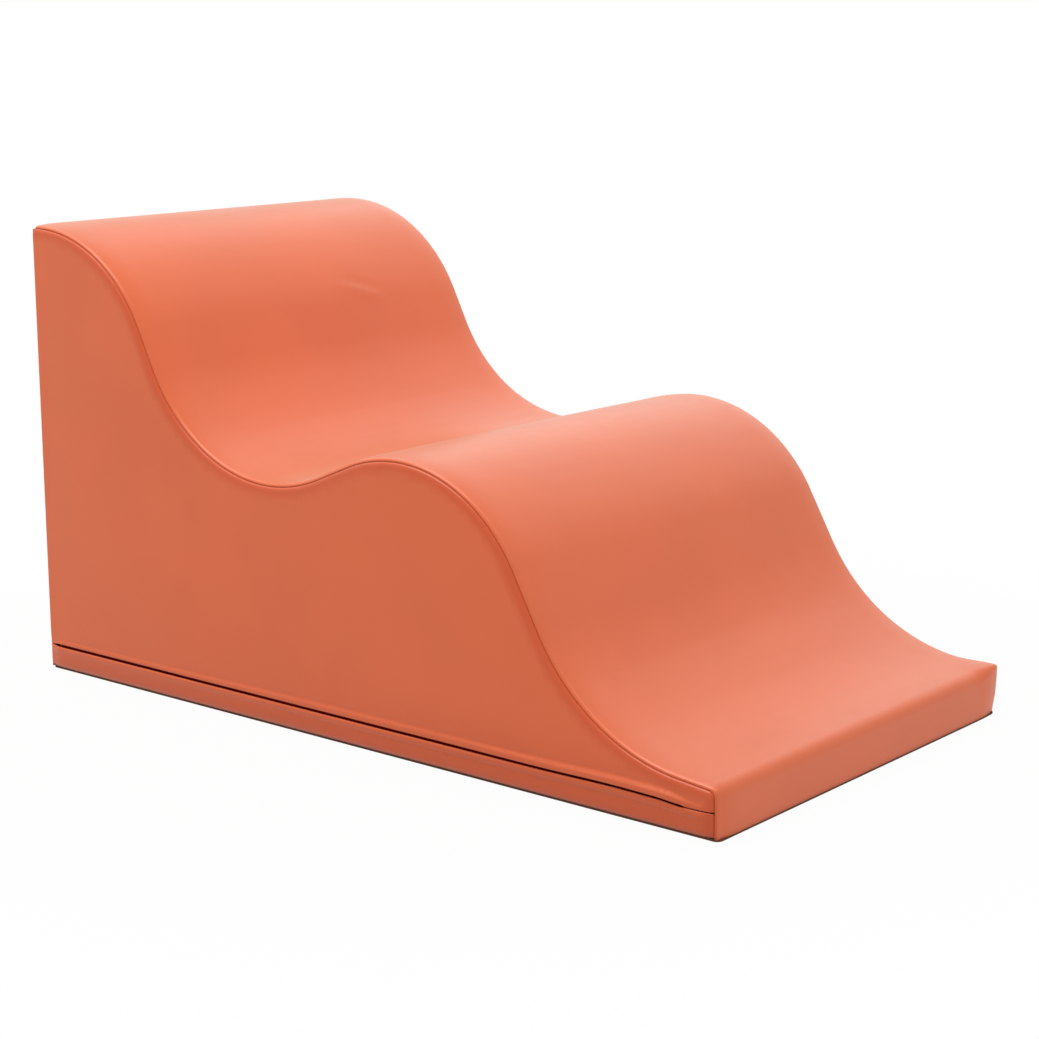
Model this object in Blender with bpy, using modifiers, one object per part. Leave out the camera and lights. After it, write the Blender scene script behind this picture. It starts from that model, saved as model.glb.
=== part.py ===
"""Soft play foam climber: a double wave cut from foam blocks, inside a sewn vinyl cover with a hidden zip.

The rear stands to the left (-X), the thin nose to the right (+X), and the zip runs along the near side (-Y).
The origin is the middle of the underside. Sizes are in metres.
"""
import math

import bmesh
import bpy
from mathutils import Matrix, Vector
from mathutils.kdtree import KDTree

# Outer form, measured over the cover at its seams
LENGTH = 1.100
WIDTH = 0.600
REAR_HEIGHT = 0.600
NOSE_HEIGHT = 0.060

# The wave's straight runs meet at four corners. Each has its place as shares of LENGTH from the rear and of
# REAR_HEIGHT, and is rounded back along both runs by a share of the shorter one
CREST_SHARES = (0.1335, 1.0, 0.945)
VALLEY_SHARES = (0.2944, 0.4092, 0.521)
HUMP_SHARES = (0.6697, 0.6925, 0.480)
FOOT_SHARES = (0.8385, 0.1305, 0.705)
NOSE_RADIUS = 0.015
DEGREES_PER_FACET = 6
SHARP_DEGREES = 60
SMOOTH_DEGREES = 35

# Cover cloth and its seams
COVER_THICKNESS = 0.0025
EDGE_RADIUS = 0.0045
LIP_DROP = 0.0055
LIP_ROUNDING = 0.0009
SIDE_CROWN = 0.002
BACK_CROWN = 0.002
CROWN_SPAN = 0.25
CROWN_POWER = 6
CROWN_ROW_SHARES = (0.0, 0.05, 0.15, 0.5, 0.85, 0.95, 1.0)
FIT_GAP = 0.0003

# Underside: a shallow tray of non-slip cloth
BASE_THICKNESS = 0.0015
BASE_LIP = 0.003
BASE_CORNER_RADIUS = 0.003

# Foam
SLAB_THICKNESS = 0.025
TOP_LAYER_THICKNESS = 0.020
FOAM_EDGE_RADIUS = 0.002

# Hidden zip along the near side
ZIP_HEIGHT = 0.0345
SLIT_HEIGHT = 0.0035
HEM_HEIGHT = 0.014
HEM_SHARE = 0.6
HEM_PROUD = 0.002
HEM_FADE = 0.030
HEM_ROWS = 5
TAPE_WIDTH = 0.019
TAPE_THICKNESS = 0.0006
TAPE_FLAT = 0.009
TAPE_RECESS = 0.0015
TAPE_SLOPE = 0.003
ZIP_END_MARGIN = 0.006
COIL_WIDTH = 0.0026
COIL_DEPTH = 0.0024
COIL_ROUNDING = 0.0004
CHAIN_GAP = 0.0016
GROOVE_ROOM = 0.0006
TACK_LENGTH = 0.002
TACK_HEIGHT = 0.012
TACK_INSET = 0.012

# Zip slider
SLIDER_LENGTH = 0.013
SLIDER_HEAD_WIDTH = 0.0108
SLIDER_TAIL_WIDTH = 0.0098
SLIDER_CORNER = 0.0018
PLATE_THICKNESS = 0.0010
PLATE_ROUNDING = 0.0002
RUNNING_GAP = 0.0004
FLANGE_THICKNESS = 0.0009
WEB_THICKNESS = 0.0010
WEB_LENGTH = 0.0045
BRIDGE_WIDTH = 0.0018
BRIDGE_HEIGHT = 0.0020
BRIDGE_LENGTH = 0.0080
BRIDGE_THICKNESS = 0.0008
SLIDER_REST_GAP = 0.0005

# Booleans and welds
OVERRUN = 0.010
UNION_BITE = 0.0002
WELD = 0.00001

# Places worked out from the sizes above
REAR_X = (BACK_CROWN - LENGTH) / 2
NOSE_X = REAR_X + LENGTH
SIDE_Y = WIDTH / 2
COVER_BOTTOM = BASE_LIP + FIT_GAP
FOAM_INSET = COVER_THICKNESS + FIT_GAP
FOAM_BOTTOM = BASE_THICKNESS + FIT_GAP
SEAM_INSET = LIP_DROP + FIT_GAP
SLAB_TOP = FOAM_BOTTOM + SLAB_THICKNESS
SLIT_BOTTOM = ZIP_HEIGHT - SLIT_HEIGHT / 2
SLIT_TOP = ZIP_HEIGHT + SLIT_HEIGHT / 2

# Depths of the zip's layers, measured inwards from the near face
PLATE_DEPTH = COVER_THICKNESS + RUNNING_GAP
TAPE_EDGE_DEPTH = COVER_THICKNESS + FIT_GAP
TAPE_DEPTH = TAPE_EDGE_DEPTH + TAPE_RECESS
COIL_TOP_DEPTH = TAPE_DEPTH + TAPE_THICKNESS + FIT_GAP
LOWER_PLATE_DEPTH = COIL_TOP_DEPTH + COIL_DEPTH + RUNNING_GAP
GROOVE_DEPTH = LOWER_PLATE_DEPTH + PLATE_THICKNESS + RUNNING_GAP

# The zip runs between the rear corner seam and the seam down the nose
ZIP_REAR_X = REAR_X + ZIP_END_MARGIN
ZIP_NOSE_X = NOSE_X - SEAM_INSET - ZIP_END_MARGIN
REAR_TACK_X = ZIP_REAR_X + TACK_INSET
NOSE_TACK_X = ZIP_NOSE_X - TACK_INSET
SLIDER_X = NOSE_TACK_X - TACK_LENGTH / 2 - SLIDER_REST_GAP - SLIDER_LENGTH / 2


def near_y(depth):
    """World Y of a point that lies this far inside the near face."""
    return depth - SIDE_Y


def clear_scene():
    for item in list(bpy.data.objects):
        bpy.data.objects.remove(item, do_unlink=True)


def new_collection(name):
    collection = bpy.data.collections.new(name)
    bpy.context.scene.collection.children.link(collection)
    return collection


def new_material(name, colour, roughness, metallic=0.0):
    material = bpy.data.materials.new(name)
    material.use_nodes = True
    shader = material.node_tree.nodes["Principled BSDF"]
    shader.inputs["Base Color"].default_value = (*colour, 1.0)
    shader.inputs["Roughness"].default_value = roughness
    shader.inputs["Metallic"].default_value = metallic
    material.diffuse_color = (*colour, 1.0)
    return material


def new_object(name, mesh, collection, material=None):
    item = bpy.data.objects.new(name, mesh)
    collection.objects.link(item)
    if material:
        mesh.materials.clear()
        mesh.materials.append(material)
    return item


def shade(item):
    item.data.shade_smooth()
    item.data.set_sharp_from_angle(angle=math.radians(SMOOTH_DEGREES))
    return item


def add_bevel(item, width, segments):
    bevel = item.modifiers.new("rounded edges", "BEVEL")
    bevel.width = width
    bevel.segments = segments
    bevel.limit_method = "ANGLE"
    bevel.angle_limit = math.radians(SHARP_DEGREES)


def add_boolean(item, other, operation):
    boolean = item.modifiers.new(operation.lower(), "BOOLEAN")
    boolean.operation = operation
    boolean.solver = "EXACT"
    boolean.object = other


def as_cutter(item):
    item.hide_render = True
    item.display_type = "WIRE"
    return item


def turn_at(before, corner, after):
    """The signed angle an outline turns through at a corner."""
    arriving = corner - before
    leaving = after - corner
    return math.atan2(arriving.cross(leaving), arriving.dot(leaving))


def shorter_run(before, corner, after):
    return min((corner - before).length, (after - corner).length)


def bend(before, corner, after, reach, inset):
    """Points round a corner that is rounded back by reach along both runs, moved in by inset."""
    turn = turn_at(before, corner, after)
    side = math.copysign(1.0, turn)
    radius = reach / math.tan(abs(turn) / 2)
    arriving = (corner - before).normalized()
    arm = Vector((arriving.y, -arriving.x)) * side
    centre = corner - arriving * reach - arm * radius
    steps = max(2, round(math.degrees(abs(turn)) / DEGREES_PER_FACET))
    length = radius + side * inset
    return [centre + Matrix.Rotation(turn * i / steps, 2) @ arm * length for i in range(steps + 1)]


def round_bend(before, corner, after, radius, inset):
    """The same for a corner whose radius is given."""
    reach = radius * math.tan(abs(turn_at(before, corner, after)) / 2)
    return bend(before, corner, after, min(reach, shorter_run(before, corner, after)), inset)


def wave_corners():
    """The wave's ends and the four corners of its straight runs."""
    shares = (CREST_SHARES, VALLEY_SHARES, HUMP_SHARES, FOOT_SHARES)
    bends = [Vector((REAR_X + along * LENGTH, up * REAR_HEIGHT)) for along, up, _ in shares]
    return [Vector((REAR_X, REAR_HEIGHT)), *bends, Vector((NOSE_X, NOSE_HEIGHT))]


def wave_line(inset, start_x):
    """The climbing surface from the rear edge to the end of the last bend, moved in by inset."""
    corners = wave_corners()
    shares = (CREST_SHARES, VALLEY_SHARES, HUMP_SHARES, FOOT_SHARES)
    points = [Vector((start_x, REAR_HEIGHT - inset))]
    for before, corner, after, (_, _, share) in zip(corners, corners[1:], corners[2:], shares):
        points += bend(before, corner, after, share * shorter_run(before, corner, after), inset)
    return points


def wave_round_nose(inset, start_x, end_z):
    """The climbing surface, over the rounded nose and down its front to end_z."""
    foot, nose = wave_corners()[-2:]
    below = Vector((NOSE_X, 0))
    front = Vector((NOSE_X - inset, end_z))
    return [*wave_line(inset, start_x), *round_bend(foot, nose, below, NOSE_RADIUS, inset), front]


def wave_to_face(inset, start_x, end_x):
    """The climbing surface moved in by inset, straight on to the upright plane at end_x."""
    foot, nose = wave_corners()[-2:]
    run = (nose - foot).normalized()
    start = foot + Vector((run.y, -run.x)) * inset
    return [*wave_line(inset, start_x), start + run * ((end_x - start.x) / run.x)]


def rounded_outline(corners, radius):
    """A closed outline, listed clockwise, with every corner rounded."""
    points = []
    for before, corner, after in zip([corners[-1], *corners], corners, [*corners[1:], corners[0]]):
        points += round_bend(before, corner, after, radius, 0)
    return points


# Frames that lay a flat outline into the model: across the width, along the length, and flat
ACROSS = Matrix(((1, 0, 0, 0), (0, 0, -1, 0), (0, 1, 0, 0), (0, 0, 0, 1)))
ALONG = Matrix(((0, 0, 1, 0), (1, 0, 0, 0), (0, 1, 0, 0), (0, 0, 0, 1)))
FLAT = Matrix.Identity(4)


def extruded(name, outline, thickness, centre, frame, collection, material=None):
    """A flat outline extruded evenly both ways from a centre, as a welded mesh object."""
    curve = bpy.data.curves.new(name, "CURVE")
    curve.dimensions = "2D"
    curve.fill_mode = "BOTH"
    curve.extrude = thickness / 2
    spline = curve.splines.new("POLY")
    spline.points.add(len(outline) - 1)
    for point, place in zip(spline.points, outline):
        point.co = (place[0], place[1], 0, 1)
    spline.use_cyclic_u = True
    source = bpy.data.objects.new(name + "_outline", curve)
    collection.objects.link(source)
    source.matrix_world = Matrix.Translation(centre) @ frame
    bpy.context.view_layer.update()
    graph = bpy.context.evaluated_depsgraph_get()
    mesh = bpy.data.meshes.new_from_object(source.evaluated_get(graph))
    mesh.name = name
    shape = bmesh.new()
    shape.from_mesh(mesh)
    bmesh.ops.remove_doubles(shape, verts=shape.verts, dist=WELD)
    bmesh.ops.recalc_face_normals(shape, faces=shape.faces)
    shape.to_mesh(mesh)
    shape.free()
    item = new_object(name, mesh, collection, material)
    item.matrix_world = source.matrix_world
    bpy.data.objects.remove(source, do_unlink=True)
    bpy.data.curves.remove(curve)
    return item


def round_long_edges(item, line, radius):
    """Rounds the two edges of an extruded shape that follow this line of its outline."""
    shape = bmesh.new()
    shape.from_mesh(item.data)
    bmesh.ops.dissolve_limit(shape, angle_limit=math.radians(1), verts=shape.verts, edges=shape.edges)
    tree = KDTree(len(line))
    for i, point in enumerate(line):
        tree.insert((point.x, point.y, 0), i)
    tree.balance()
    chosen = []
    for edge in shape.edges:
        first, second = (vertex.co for vertex in edge.verts)
        ends = [tree.find((place.x, place.y, 0))[2] for place in (first, second)]
        if max(ends) < WELD and abs(first.z - second.z) < WELD and len(edge.link_faces) == 2:
            if edge.calc_face_angle() > math.radians(SHARP_DEGREES):
                chosen.append(edge)
    bmesh.ops.bevel(shape, geom=chosen, offset=radius, segments=2, profile=0.5, affect="EDGES")
    shape.to_mesh(item.data)
    shape.free()


def box(name, low, high, collection, material=None):
    """A box between two corners, from a cube primitive."""
    low, high = Vector(low), Vector(high)
    mesh = bpy.data.meshes.new(name)
    shape = bmesh.new()
    bmesh.ops.create_cube(shape, size=1.0)
    bmesh.ops.scale(shape, vec=high - low, verts=shape.verts)
    shape.to_mesh(mesh)
    shape.free()
    item = new_object(name, mesh, collection, material)
    item.location = (low + high) / 2
    return item


def sheet(name, columns, thickness, outward, collection, material, rounding=None):
    """A shell from a grid of outer points, given as columns, with its thickness laid inwards."""
    rows = len(columns[0])
    points = [point for column in columns for point in column]
    faces = [
        (i * rows + j, (i + 1) * rows + j, (i + 1) * rows + j + 1, i * rows + j + 1)
        for i in range(len(columns) - 1)
        for j in range(rows - 1)
    ]
    mesh = bpy.data.meshes.new(name)
    mesh.from_pydata(points, [], faces)
    largest = max(mesh.polygons, key=lambda face: face.area)
    if largest.normal.dot(outward) < 0:
        mesh.flip_normals()
    item = new_object(name, mesh, collection, material)
    solidify = item.modifiers.new("cloth thickness", "SOLIDIFY")
    solidify.thickness = thickness
    solidify.offset = -1.0
    solidify.use_even_offset = True
    if rounding:
        add_bevel(item, rounding, 2)
    return shade(item)


def pillow(share):
    """0 at both ends and 1 over most of the middle, as cloth swells between two seams."""
    return 1 - abs(2 * share - 1) ** CROWN_POWER


def eased(share):
    share = min(1.0, max(0.0, share))
    return share * share * (3 - 2 * share)


def side_columns(side, bottom, hem):
    """Outer points of a side panel, column by column from the rear to the nose seam."""
    top = wave_round_nose(SEAM_INSET, REAR_X, bottom)[:-1]
    last_x = top[-1].x
    columns = []
    for x, z_top in top:
        along = (x - REAR_X) / (last_x - REAR_X)
        height = z_top - bottom
        column = []
        start = bottom
        if hem:
            band = min(HEM_HEIGHT, height * HEM_SHARE)
            fade = eased((x - REAR_X) / HEM_FADE) * eased((last_x - x) / HEM_FADE)
            for row in range(HEM_ROWS):
                share = row / HEM_ROWS
                swell = HEM_PROUD * math.sin(math.pi * share) * fade
                column.append((x, side * (SIDE_Y + swell), bottom + band * share))
            start = bottom + band
        crown = SIDE_CROWN * pillow(along) * min(1.0, height / CROWN_SPAN)
        for share in CROWN_ROW_SHARES:
            swell = crown * pillow(share)
            column.append((x, side * (SIDE_Y + swell), start + (z_top - start) * share))
        columns.append(column)
    return columns


def build_foam(parts, cutters, materials):
    face_rear = REAR_X + FOAM_INSET
    face_nose = NOSE_X - FOAM_INSET
    width = WIDTH - 2 * FOAM_INSET
    middle = Vector((0, 0, 0))

    slab_rear = [Vector((face_rear, FOAM_BOTTOM)), Vector((face_rear, SLAB_TOP))]
    slab_front = [Vector((face_nose, SLAB_TOP)), Vector((face_nose, FOAM_BOTTOM))]
    slab_outline = [*slab_rear, *slab_front]
    slab = extruded("foam_base_slab", slab_outline, width, middle, ACROSS, parts, materials["firm foam"])
    round_long_edges(slab, slab_front, FOAM_EDGE_RADIUS)

    core_top = wave_to_face(FOAM_INSET + TOP_LAYER_THICKNESS + FIT_GAP, face_rear, face_nose)
    core_front = [core_top[-1], Vector((face_nose, SLAB_TOP + FIT_GAP))]
    core_outline = [*core_top, core_front[-1], Vector((face_rear, SLAB_TOP + FIT_GAP))]
    core = extruded("foam_wave_core", core_outline, width, middle, ACROSS, parts, materials["firm foam"])
    round_long_edges(core, core_front, FOAM_EDGE_RADIUS)

    under = wave_to_face(FOAM_INSET + TOP_LAYER_THICKNESS, face_rear, face_nose)
    upper = wave_round_nose(FOAM_INSET, face_rear, under[-1].y)
    layer_outline = [*upper, *reversed(under[:-1])]
    layer = extruded("foam_top_layer", layer_outline, width, middle, ACROSS, parts, materials["soft foam"])
    round_long_edges(layer, upper, FOAM_EDGE_RADIUS)

    wide = TAPE_WIDTH + GROOVE_ROOM
    step = TAPE_FLAT + GROOVE_ROOM * 2
    narrow = SLIDER_HEAD_WIDTH / 2 + GROOVE_ROOM
    mouth = TAPE_EDGE_DEPTH + TAPE_THICKNESS + FIT_GAP
    groove_outline = [
        (near_y(-OVERRUN), ZIP_HEIGHT - wide),
        (near_y(mouth), ZIP_HEIGHT - wide),
        (near_y(mouth), ZIP_HEIGHT - step),
        (near_y(GROOVE_DEPTH), ZIP_HEIGHT - narrow),
        (near_y(GROOVE_DEPTH), ZIP_HEIGHT + narrow),
        (near_y(mouth), ZIP_HEIGHT + step),
        (near_y(mouth), ZIP_HEIGHT + wide),
        (near_y(-OVERRUN), ZIP_HEIGHT + wide),
    ]
    groove = extruded("zip_groove", groove_outline, LENGTH + 2 * OVERRUN, middle, ALONG, cutters)
    as_cutter(groove)
    for item in (slab, core, layer):
        add_boolean(item, groove, "DIFFERENCE")
        shade(item)


def build_top_strip(parts, materials):
    """One strip of cloth over the wave, round the nose and down its front, turned over both long edges."""
    arc = [math.radians(90 * i / 3) for i in range(4)]
    corner = [(EDGE_RADIUS * (1 - math.sin(a)), EDGE_RADIUS * (1 - math.cos(a))) for a in reversed(arc)]
    half = [(0, LIP_DROP), *corner]
    section = [(-SIDE_Y + inwards, depth) for inwards, depth in half]
    section += [(SIDE_Y - inwards, depth) for inwards, depth in reversed(half)]
    columns = []
    for y, depth in section:
        line = wave_round_nose(depth, REAR_X, COVER_BOTTOM)
        columns.append([(x, y, z) for x, z in line])
    vinyl = materials["vinyl"]
    sheet("cover_top_strip", columns, COVER_THICKNESS, Vector((0, 0, 1)), parts, vinyl, LIP_ROUNDING)


def build_side_panels(parts, materials):
    vinyl = materials["vinyl"]
    near = side_columns(-1, SLIT_TOP, True)
    sheet("cover_side_near", near, COVER_THICKNESS, Vector((0, -1, 0)), parts, vinyl, LIP_ROUNDING)
    far = side_columns(1, COVER_BOTTOM, False)
    sheet("cover_side_far", far, COVER_THICKNESS, Vector((0, 1, 0)), parts, vinyl, LIP_ROUNDING)
    band = box(
        "cover_band_near",
        (REAR_X, near_y(0), COVER_BOTTOM),
        (NOSE_X - SEAM_INSET, near_y(COVER_THICKNESS), SLIT_BOTTOM),
        parts,
        vinyl,
    )
    add_bevel(band, LIP_ROUNDING, 2)
    shade(band)


def build_back_panel(parts, materials):
    """A swelling panel between the sides, its upper corners cut to clear the strip where that turns down."""
    half = SIDE_Y - COVER_THICKNESS - FIT_GAP
    top = REAR_HEIGHT - COVER_THICKNESS - FIT_GAP
    cut = EDGE_RADIUS - COVER_THICKNESS - FIT_GAP
    height = top - COVER_BOTTOM
    up_shares = [*CROWN_ROW_SHARES[:-1], 1 - cut / height, 1.0]
    columns = []
    for along in CROWN_ROW_SHARES:
        column = []
        for up in up_shares:
            reach = half - cut if up == 1.0 else half
            y = max(-reach, min(reach, half * (2 * along - 1)))
            swell = BACK_CROWN * pillow(along) * pillow(up)
            column.append((REAR_X - swell, y, COVER_BOTTOM + height * up))
        columns.append(column)
    vinyl = materials["vinyl"]
    sheet("cover_back_panel", columns, COVER_THICKNESS, Vector((-1, 0, 0)), parts, vinyl, LIP_ROUNDING)


def build_base_panel(parts, materials):
    """The underside: a box without its top, rounded all round its foot, with its thickness laid inwards."""
    cloth = materials["base cloth"]
    item = box("cover_base_panel", (REAR_X, -SIDE_Y, 0), (NOSE_X, SIDE_Y, BASE_LIP), parts, cloth)
    shape = bmesh.new()
    shape.from_mesh(item.data)
    shape.faces.ensure_lookup_table()
    top = max(shape.faces, key=lambda face: face.calc_center_median().z)
    bmesh.ops.delete(shape, geom=[top], context="FACES_ONLY")
    upright = [edge for edge in shape.edges if abs(edge.verts[0].co.z - edge.verts[1].co.z) > BASE_LIP / 2]
    bmesh.ops.bevel(
        shape,
        geom=upright,
        offset=BASE_CORNER_RADIUS,
        segments=3,
        profile=0.5,
        affect="EDGES",
    )
    floor = min(shape.faces, key=lambda face: face.calc_center_median().z)
    bmesh.ops.bevel(
        shape,
        geom=list(floor.edges),
        offset=BASE_CORNER_RADIUS - UNION_BITE,
        segments=3,
        profile=0.5,
        affect="EDGES",
    )
    shape.to_mesh(item.data)
    shape.free()
    solidify = item.modifiers.new("cloth thickness", "SOLIDIFY")
    solidify.thickness = BASE_THICKNESS
    solidify.offset = -1.0
    solidify.use_even_offset = True
    shade(item)


def build_zip_tapes(parts, materials):
    for side, name in ((1, "zip_tape_upper"), (-1, "zip_tape_lower")):
        section = [
            (TAPE_EDGE_DEPTH, TAPE_WIDTH),
            (TAPE_EDGE_DEPTH, TAPE_FLAT),
            (TAPE_DEPTH, TAPE_FLAT - TAPE_SLOPE),
            (TAPE_DEPTH, CHAIN_GAP / 2),
        ]
        columns = [
            [(x, near_y(depth), ZIP_HEIGHT + side * height) for depth, height in section]
            for x in (ZIP_REAR_X, ZIP_NOSE_X)
        ]
        sheet(name, columns, TAPE_THICKNESS, Vector((0, -1, 0)), parts, materials["zip tape"])


def build_zip_coils(parts, materials):
    for side, name in ((1, "zip_coil_upper"), (-1, "zip_coil_lower")):
        inner = ZIP_HEIGHT + side * CHAIN_GAP / 2
        outer = inner + side * COIL_WIDTH
        coil = box(
            name,
            (ZIP_REAR_X, near_y(COIL_TOP_DEPTH), min(inner, outer)),
            (ZIP_NOSE_X, near_y(COIL_TOP_DEPTH + COIL_DEPTH), max(inner, outer)),
            parts,
            materials["zip coil"],
        )
        add_bevel(coil, COIL_ROUNDING, 2)
        shade(coil)


def build_end_tacks(parts, materials):
    """The stitched bars across both ends of the zip, which stop the slider."""
    for x, name in ((REAR_TACK_X, "zip_tack_rear"), (NOSE_TACK_X, "zip_tack_nose")):
        tack = box(
            name,
            (x - TACK_LENGTH / 2, near_y(TAPE_EDGE_DEPTH), ZIP_HEIGHT - TACK_HEIGHT / 2),
            (x + TACK_LENGTH / 2, near_y(TAPE_DEPTH - FIT_GAP), ZIP_HEIGHT + TACK_HEIGHT / 2),
            parts,
            materials["thread"],
        )
        add_bevel(tack, COIL_ROUNDING, 2)
        shade(tack)


def build_slider(parts, cutters, materials):
    """Two plates joined by a web that parts the coils, side flanges on the lower one and a bridge on top."""
    half = SLIDER_LENGTH / 2
    corners = [
        Vector((-half, -SLIDER_TAIL_WIDTH / 2)),
        Vector((-half, SLIDER_TAIL_WIDTH / 2)),
        Vector((half, SLIDER_HEAD_WIDTH / 2)),
        Vector((half, -SLIDER_HEAD_WIDTH / 2)),
    ]
    outline = rounded_outline(corners, SLIDER_CORNER)
    upper = Vector((SLIDER_X, near_y(PLATE_DEPTH + PLATE_THICKNESS / 2), ZIP_HEIGHT))
    lower = Vector((SLIDER_X, near_y(LOWER_PLATE_DEPTH + PLATE_THICKNESS / 2), ZIP_HEIGHT))
    slider = extruded("zip_slider", outline, PLATE_THICKNESS, upper, ACROSS, parts, materials["slider"])
    pieces = [extruded("slider_lower_plate", outline, PLATE_THICKNESS, lower, ACROSS, cutters)]

    tail = SLIDER_X - half + SLIDER_CORNER
    head = SLIDER_X + half - SLIDER_CORNER
    inside = near_y(LOWER_PLATE_DEPTH + UNION_BITE)
    web_low = (head - WEB_LENGTH, near_y(PLATE_DEPTH + UNION_BITE), ZIP_HEIGHT - WEB_THICKNESS / 2)
    web_high = (head, inside, ZIP_HEIGHT + WEB_THICKNESS / 2)
    pieces.append(box("slider_web", web_low, web_high, cutters))

    flange_inner = CHAIN_GAP / 2 + COIL_WIDTH + RUNNING_GAP
    flange_top = near_y(TAPE_DEPTH + TAPE_THICKNESS + RUNNING_GAP)
    for side in (-1, 1):
        edges = sorted(ZIP_HEIGHT + side * (flange_inner + extra) for extra in (0, FLANGE_THICKNESS))
        pieces.append(box("slider_flange", (tail, flange_top, edges[0]), (head, inside, edges[1]), cutters))

    reach = BRIDGE_LENGTH / 2
    wall = BRIDGE_THICKNESS
    crown = PLATE_DEPTH - BRIDGE_HEIGHT
    foot = PLATE_DEPTH + UNION_BITE
    arch = [
        (-reach, foot),
        (-reach, crown + wall),
        (wall - reach, crown),
        (reach - wall, crown),
        (reach, crown + wall),
        (reach, foot),
        (reach - wall, foot),
        (reach - wall, crown + wall),
        (wall - reach, crown + wall),
        (wall - reach, foot),
    ]
    place = Vector((SLIDER_X, near_y(0), ZIP_HEIGHT))
    pieces.append(extruded("slider_bridge", arch, BRIDGE_WIDTH, place, FLAT, cutters))
    for piece in pieces:
        add_boolean(slider, as_cutter(piece), "UNION")
    add_bevel(slider, PLATE_ROUNDING, 1)
    shade(slider)


def build_materials():
    return {
        "vinyl": new_material("coral_vinyl", (0.68, 0.145, 0.068), 0.45),
        "base cloth": new_material("non_slip_base_cloth", (0.085, 0.055, 0.035), 0.85),
        "firm foam": new_material("firm_foam", (0.80, 0.78, 0.70), 0.95),
        "soft foam": new_material("soft_foam", (0.86, 0.80, 0.58), 0.95),
        "zip tape": new_material("zip_tape", (0.045, 0.006, 0.005), 0.85),
        "zip coil": new_material("zip_coil", (0.06, 0.010, 0.008), 0.40),
        "thread": new_material("stitch_thread", (0.50, 0.11, 0.05), 0.70),
        "slider": new_material("slider_metal", (0.55, 0.54, 0.52), 0.30, 1.0),
    }


def main():
    clear_scene()
    parts = new_collection("soft_play_foam_climber")
    cutters = new_collection("cutters")
    materials = build_materials()
    build_foam(parts, cutters, materials)
    build_top_strip(parts, materials)
    build_side_panels(parts, materials)
    build_back_panel(parts, materials)
    build_base_panel(parts, materials)
    build_zip_tapes(parts, materials)
    build_zip_coils(parts, materials)
    build_end_tacks(parts, materials)
    build_slider(parts, cutters, materials)


main()
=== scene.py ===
"""Looks of the soft play foam climber: sewn vinyl cover, foam, hidden zip, stage and camera.

The rear stands to the left (-X), the thin nose to the right (+X), and the zip runs along the near side (-Y).
Sizes are in metres, in the frame of the CAD model.
"""

from math import acos, atan2, ceil, copysign, cos, degrees, exp, hypot, pi, radians, sin, tan

import bpy
from bpy.props import FloatProperty, FloatVectorProperty, IntProperty, PointerProperty
from mathutils import Matrix, Vector, noise
from mathutils.bvhtree import BVHTree
from mathutils.geometry import delaunay_2d_cdt
from mathutils.interpolate import poly_3d_calc
from mathutils.kdtree import KDTree


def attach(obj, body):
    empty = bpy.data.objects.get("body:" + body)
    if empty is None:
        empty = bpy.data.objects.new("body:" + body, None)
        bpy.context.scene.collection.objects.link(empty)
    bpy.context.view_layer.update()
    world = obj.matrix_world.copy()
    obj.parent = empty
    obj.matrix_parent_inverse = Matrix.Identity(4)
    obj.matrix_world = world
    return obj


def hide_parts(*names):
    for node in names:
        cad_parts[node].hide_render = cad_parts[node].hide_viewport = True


bl_info = {
    "name": "Soft Play Foam Climber",
    "version": (1, 0, 0),
    "blender": (4, 5, 0),
    "location": "3D View > Sidebar > Climber",
    "description": "Builds the sewn vinyl cover, foam, hidden zip and stage of a soft play climber",
    "category": "Object",
}

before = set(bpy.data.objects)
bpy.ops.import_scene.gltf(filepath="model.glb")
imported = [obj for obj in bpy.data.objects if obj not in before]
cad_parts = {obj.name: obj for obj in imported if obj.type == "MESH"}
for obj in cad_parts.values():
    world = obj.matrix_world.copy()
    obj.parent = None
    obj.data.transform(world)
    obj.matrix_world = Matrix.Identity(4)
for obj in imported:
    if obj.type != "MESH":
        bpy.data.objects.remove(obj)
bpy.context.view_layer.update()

# Outer form, the same values as the CAD source
LENGTH = 1.100
WIDTH = 0.600
REAR_HEIGHT = 0.600
NOSE_HEIGHT = 0.060
BACK_CROWN = 0.002
CREST_SHARES = (0.1335, 1.0, 0.945)
VALLEY_SHARES = (0.2944, 0.4092, 0.521)
HUMP_SHARES = (0.6697, 0.6925, 0.480)
FOOT_SHARES = (0.8385, 0.1305, 0.705)
NOSE_RADIUS = 0.015
NOSE_TIP_RADIUS = 0.004
SEAM_DROP = 0.0055
SEAM_INSET = 0.0058
COVER_BOTTOM = 0.0033
REAR_X = (BACK_CROWN - LENGTH) / 2
NOSE_X = REAR_X + LENGTH
SIDE_Y = WIDTH / 2
SEAM_X = NOSE_X - SEAM_INSET

# Zip, the same values as the CAD source
ZIP_HEIGHT = 0.0345
SLIT_HEIGHT = 0.0035
TAPE_WIDTH = 0.019
TAPE_THICKNESS = 0.0006
TAPE_EDGE_DEPTH = 0.0028
TAPE_DEPTH = 0.0043
COIL_TOP_DEPTH = 0.0052
COIL_DEPTH = 0.0024
COIL_WIDTH = 0.0026
CHAIN_GAP = 0.0016
ZIP_END_MARGIN = 0.006
TACK_INSET = 0.012
ZIP_REAR_X = REAR_X + ZIP_END_MARGIN
ZIP_NOSE_X = SEAM_X - ZIP_END_MARGIN

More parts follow.
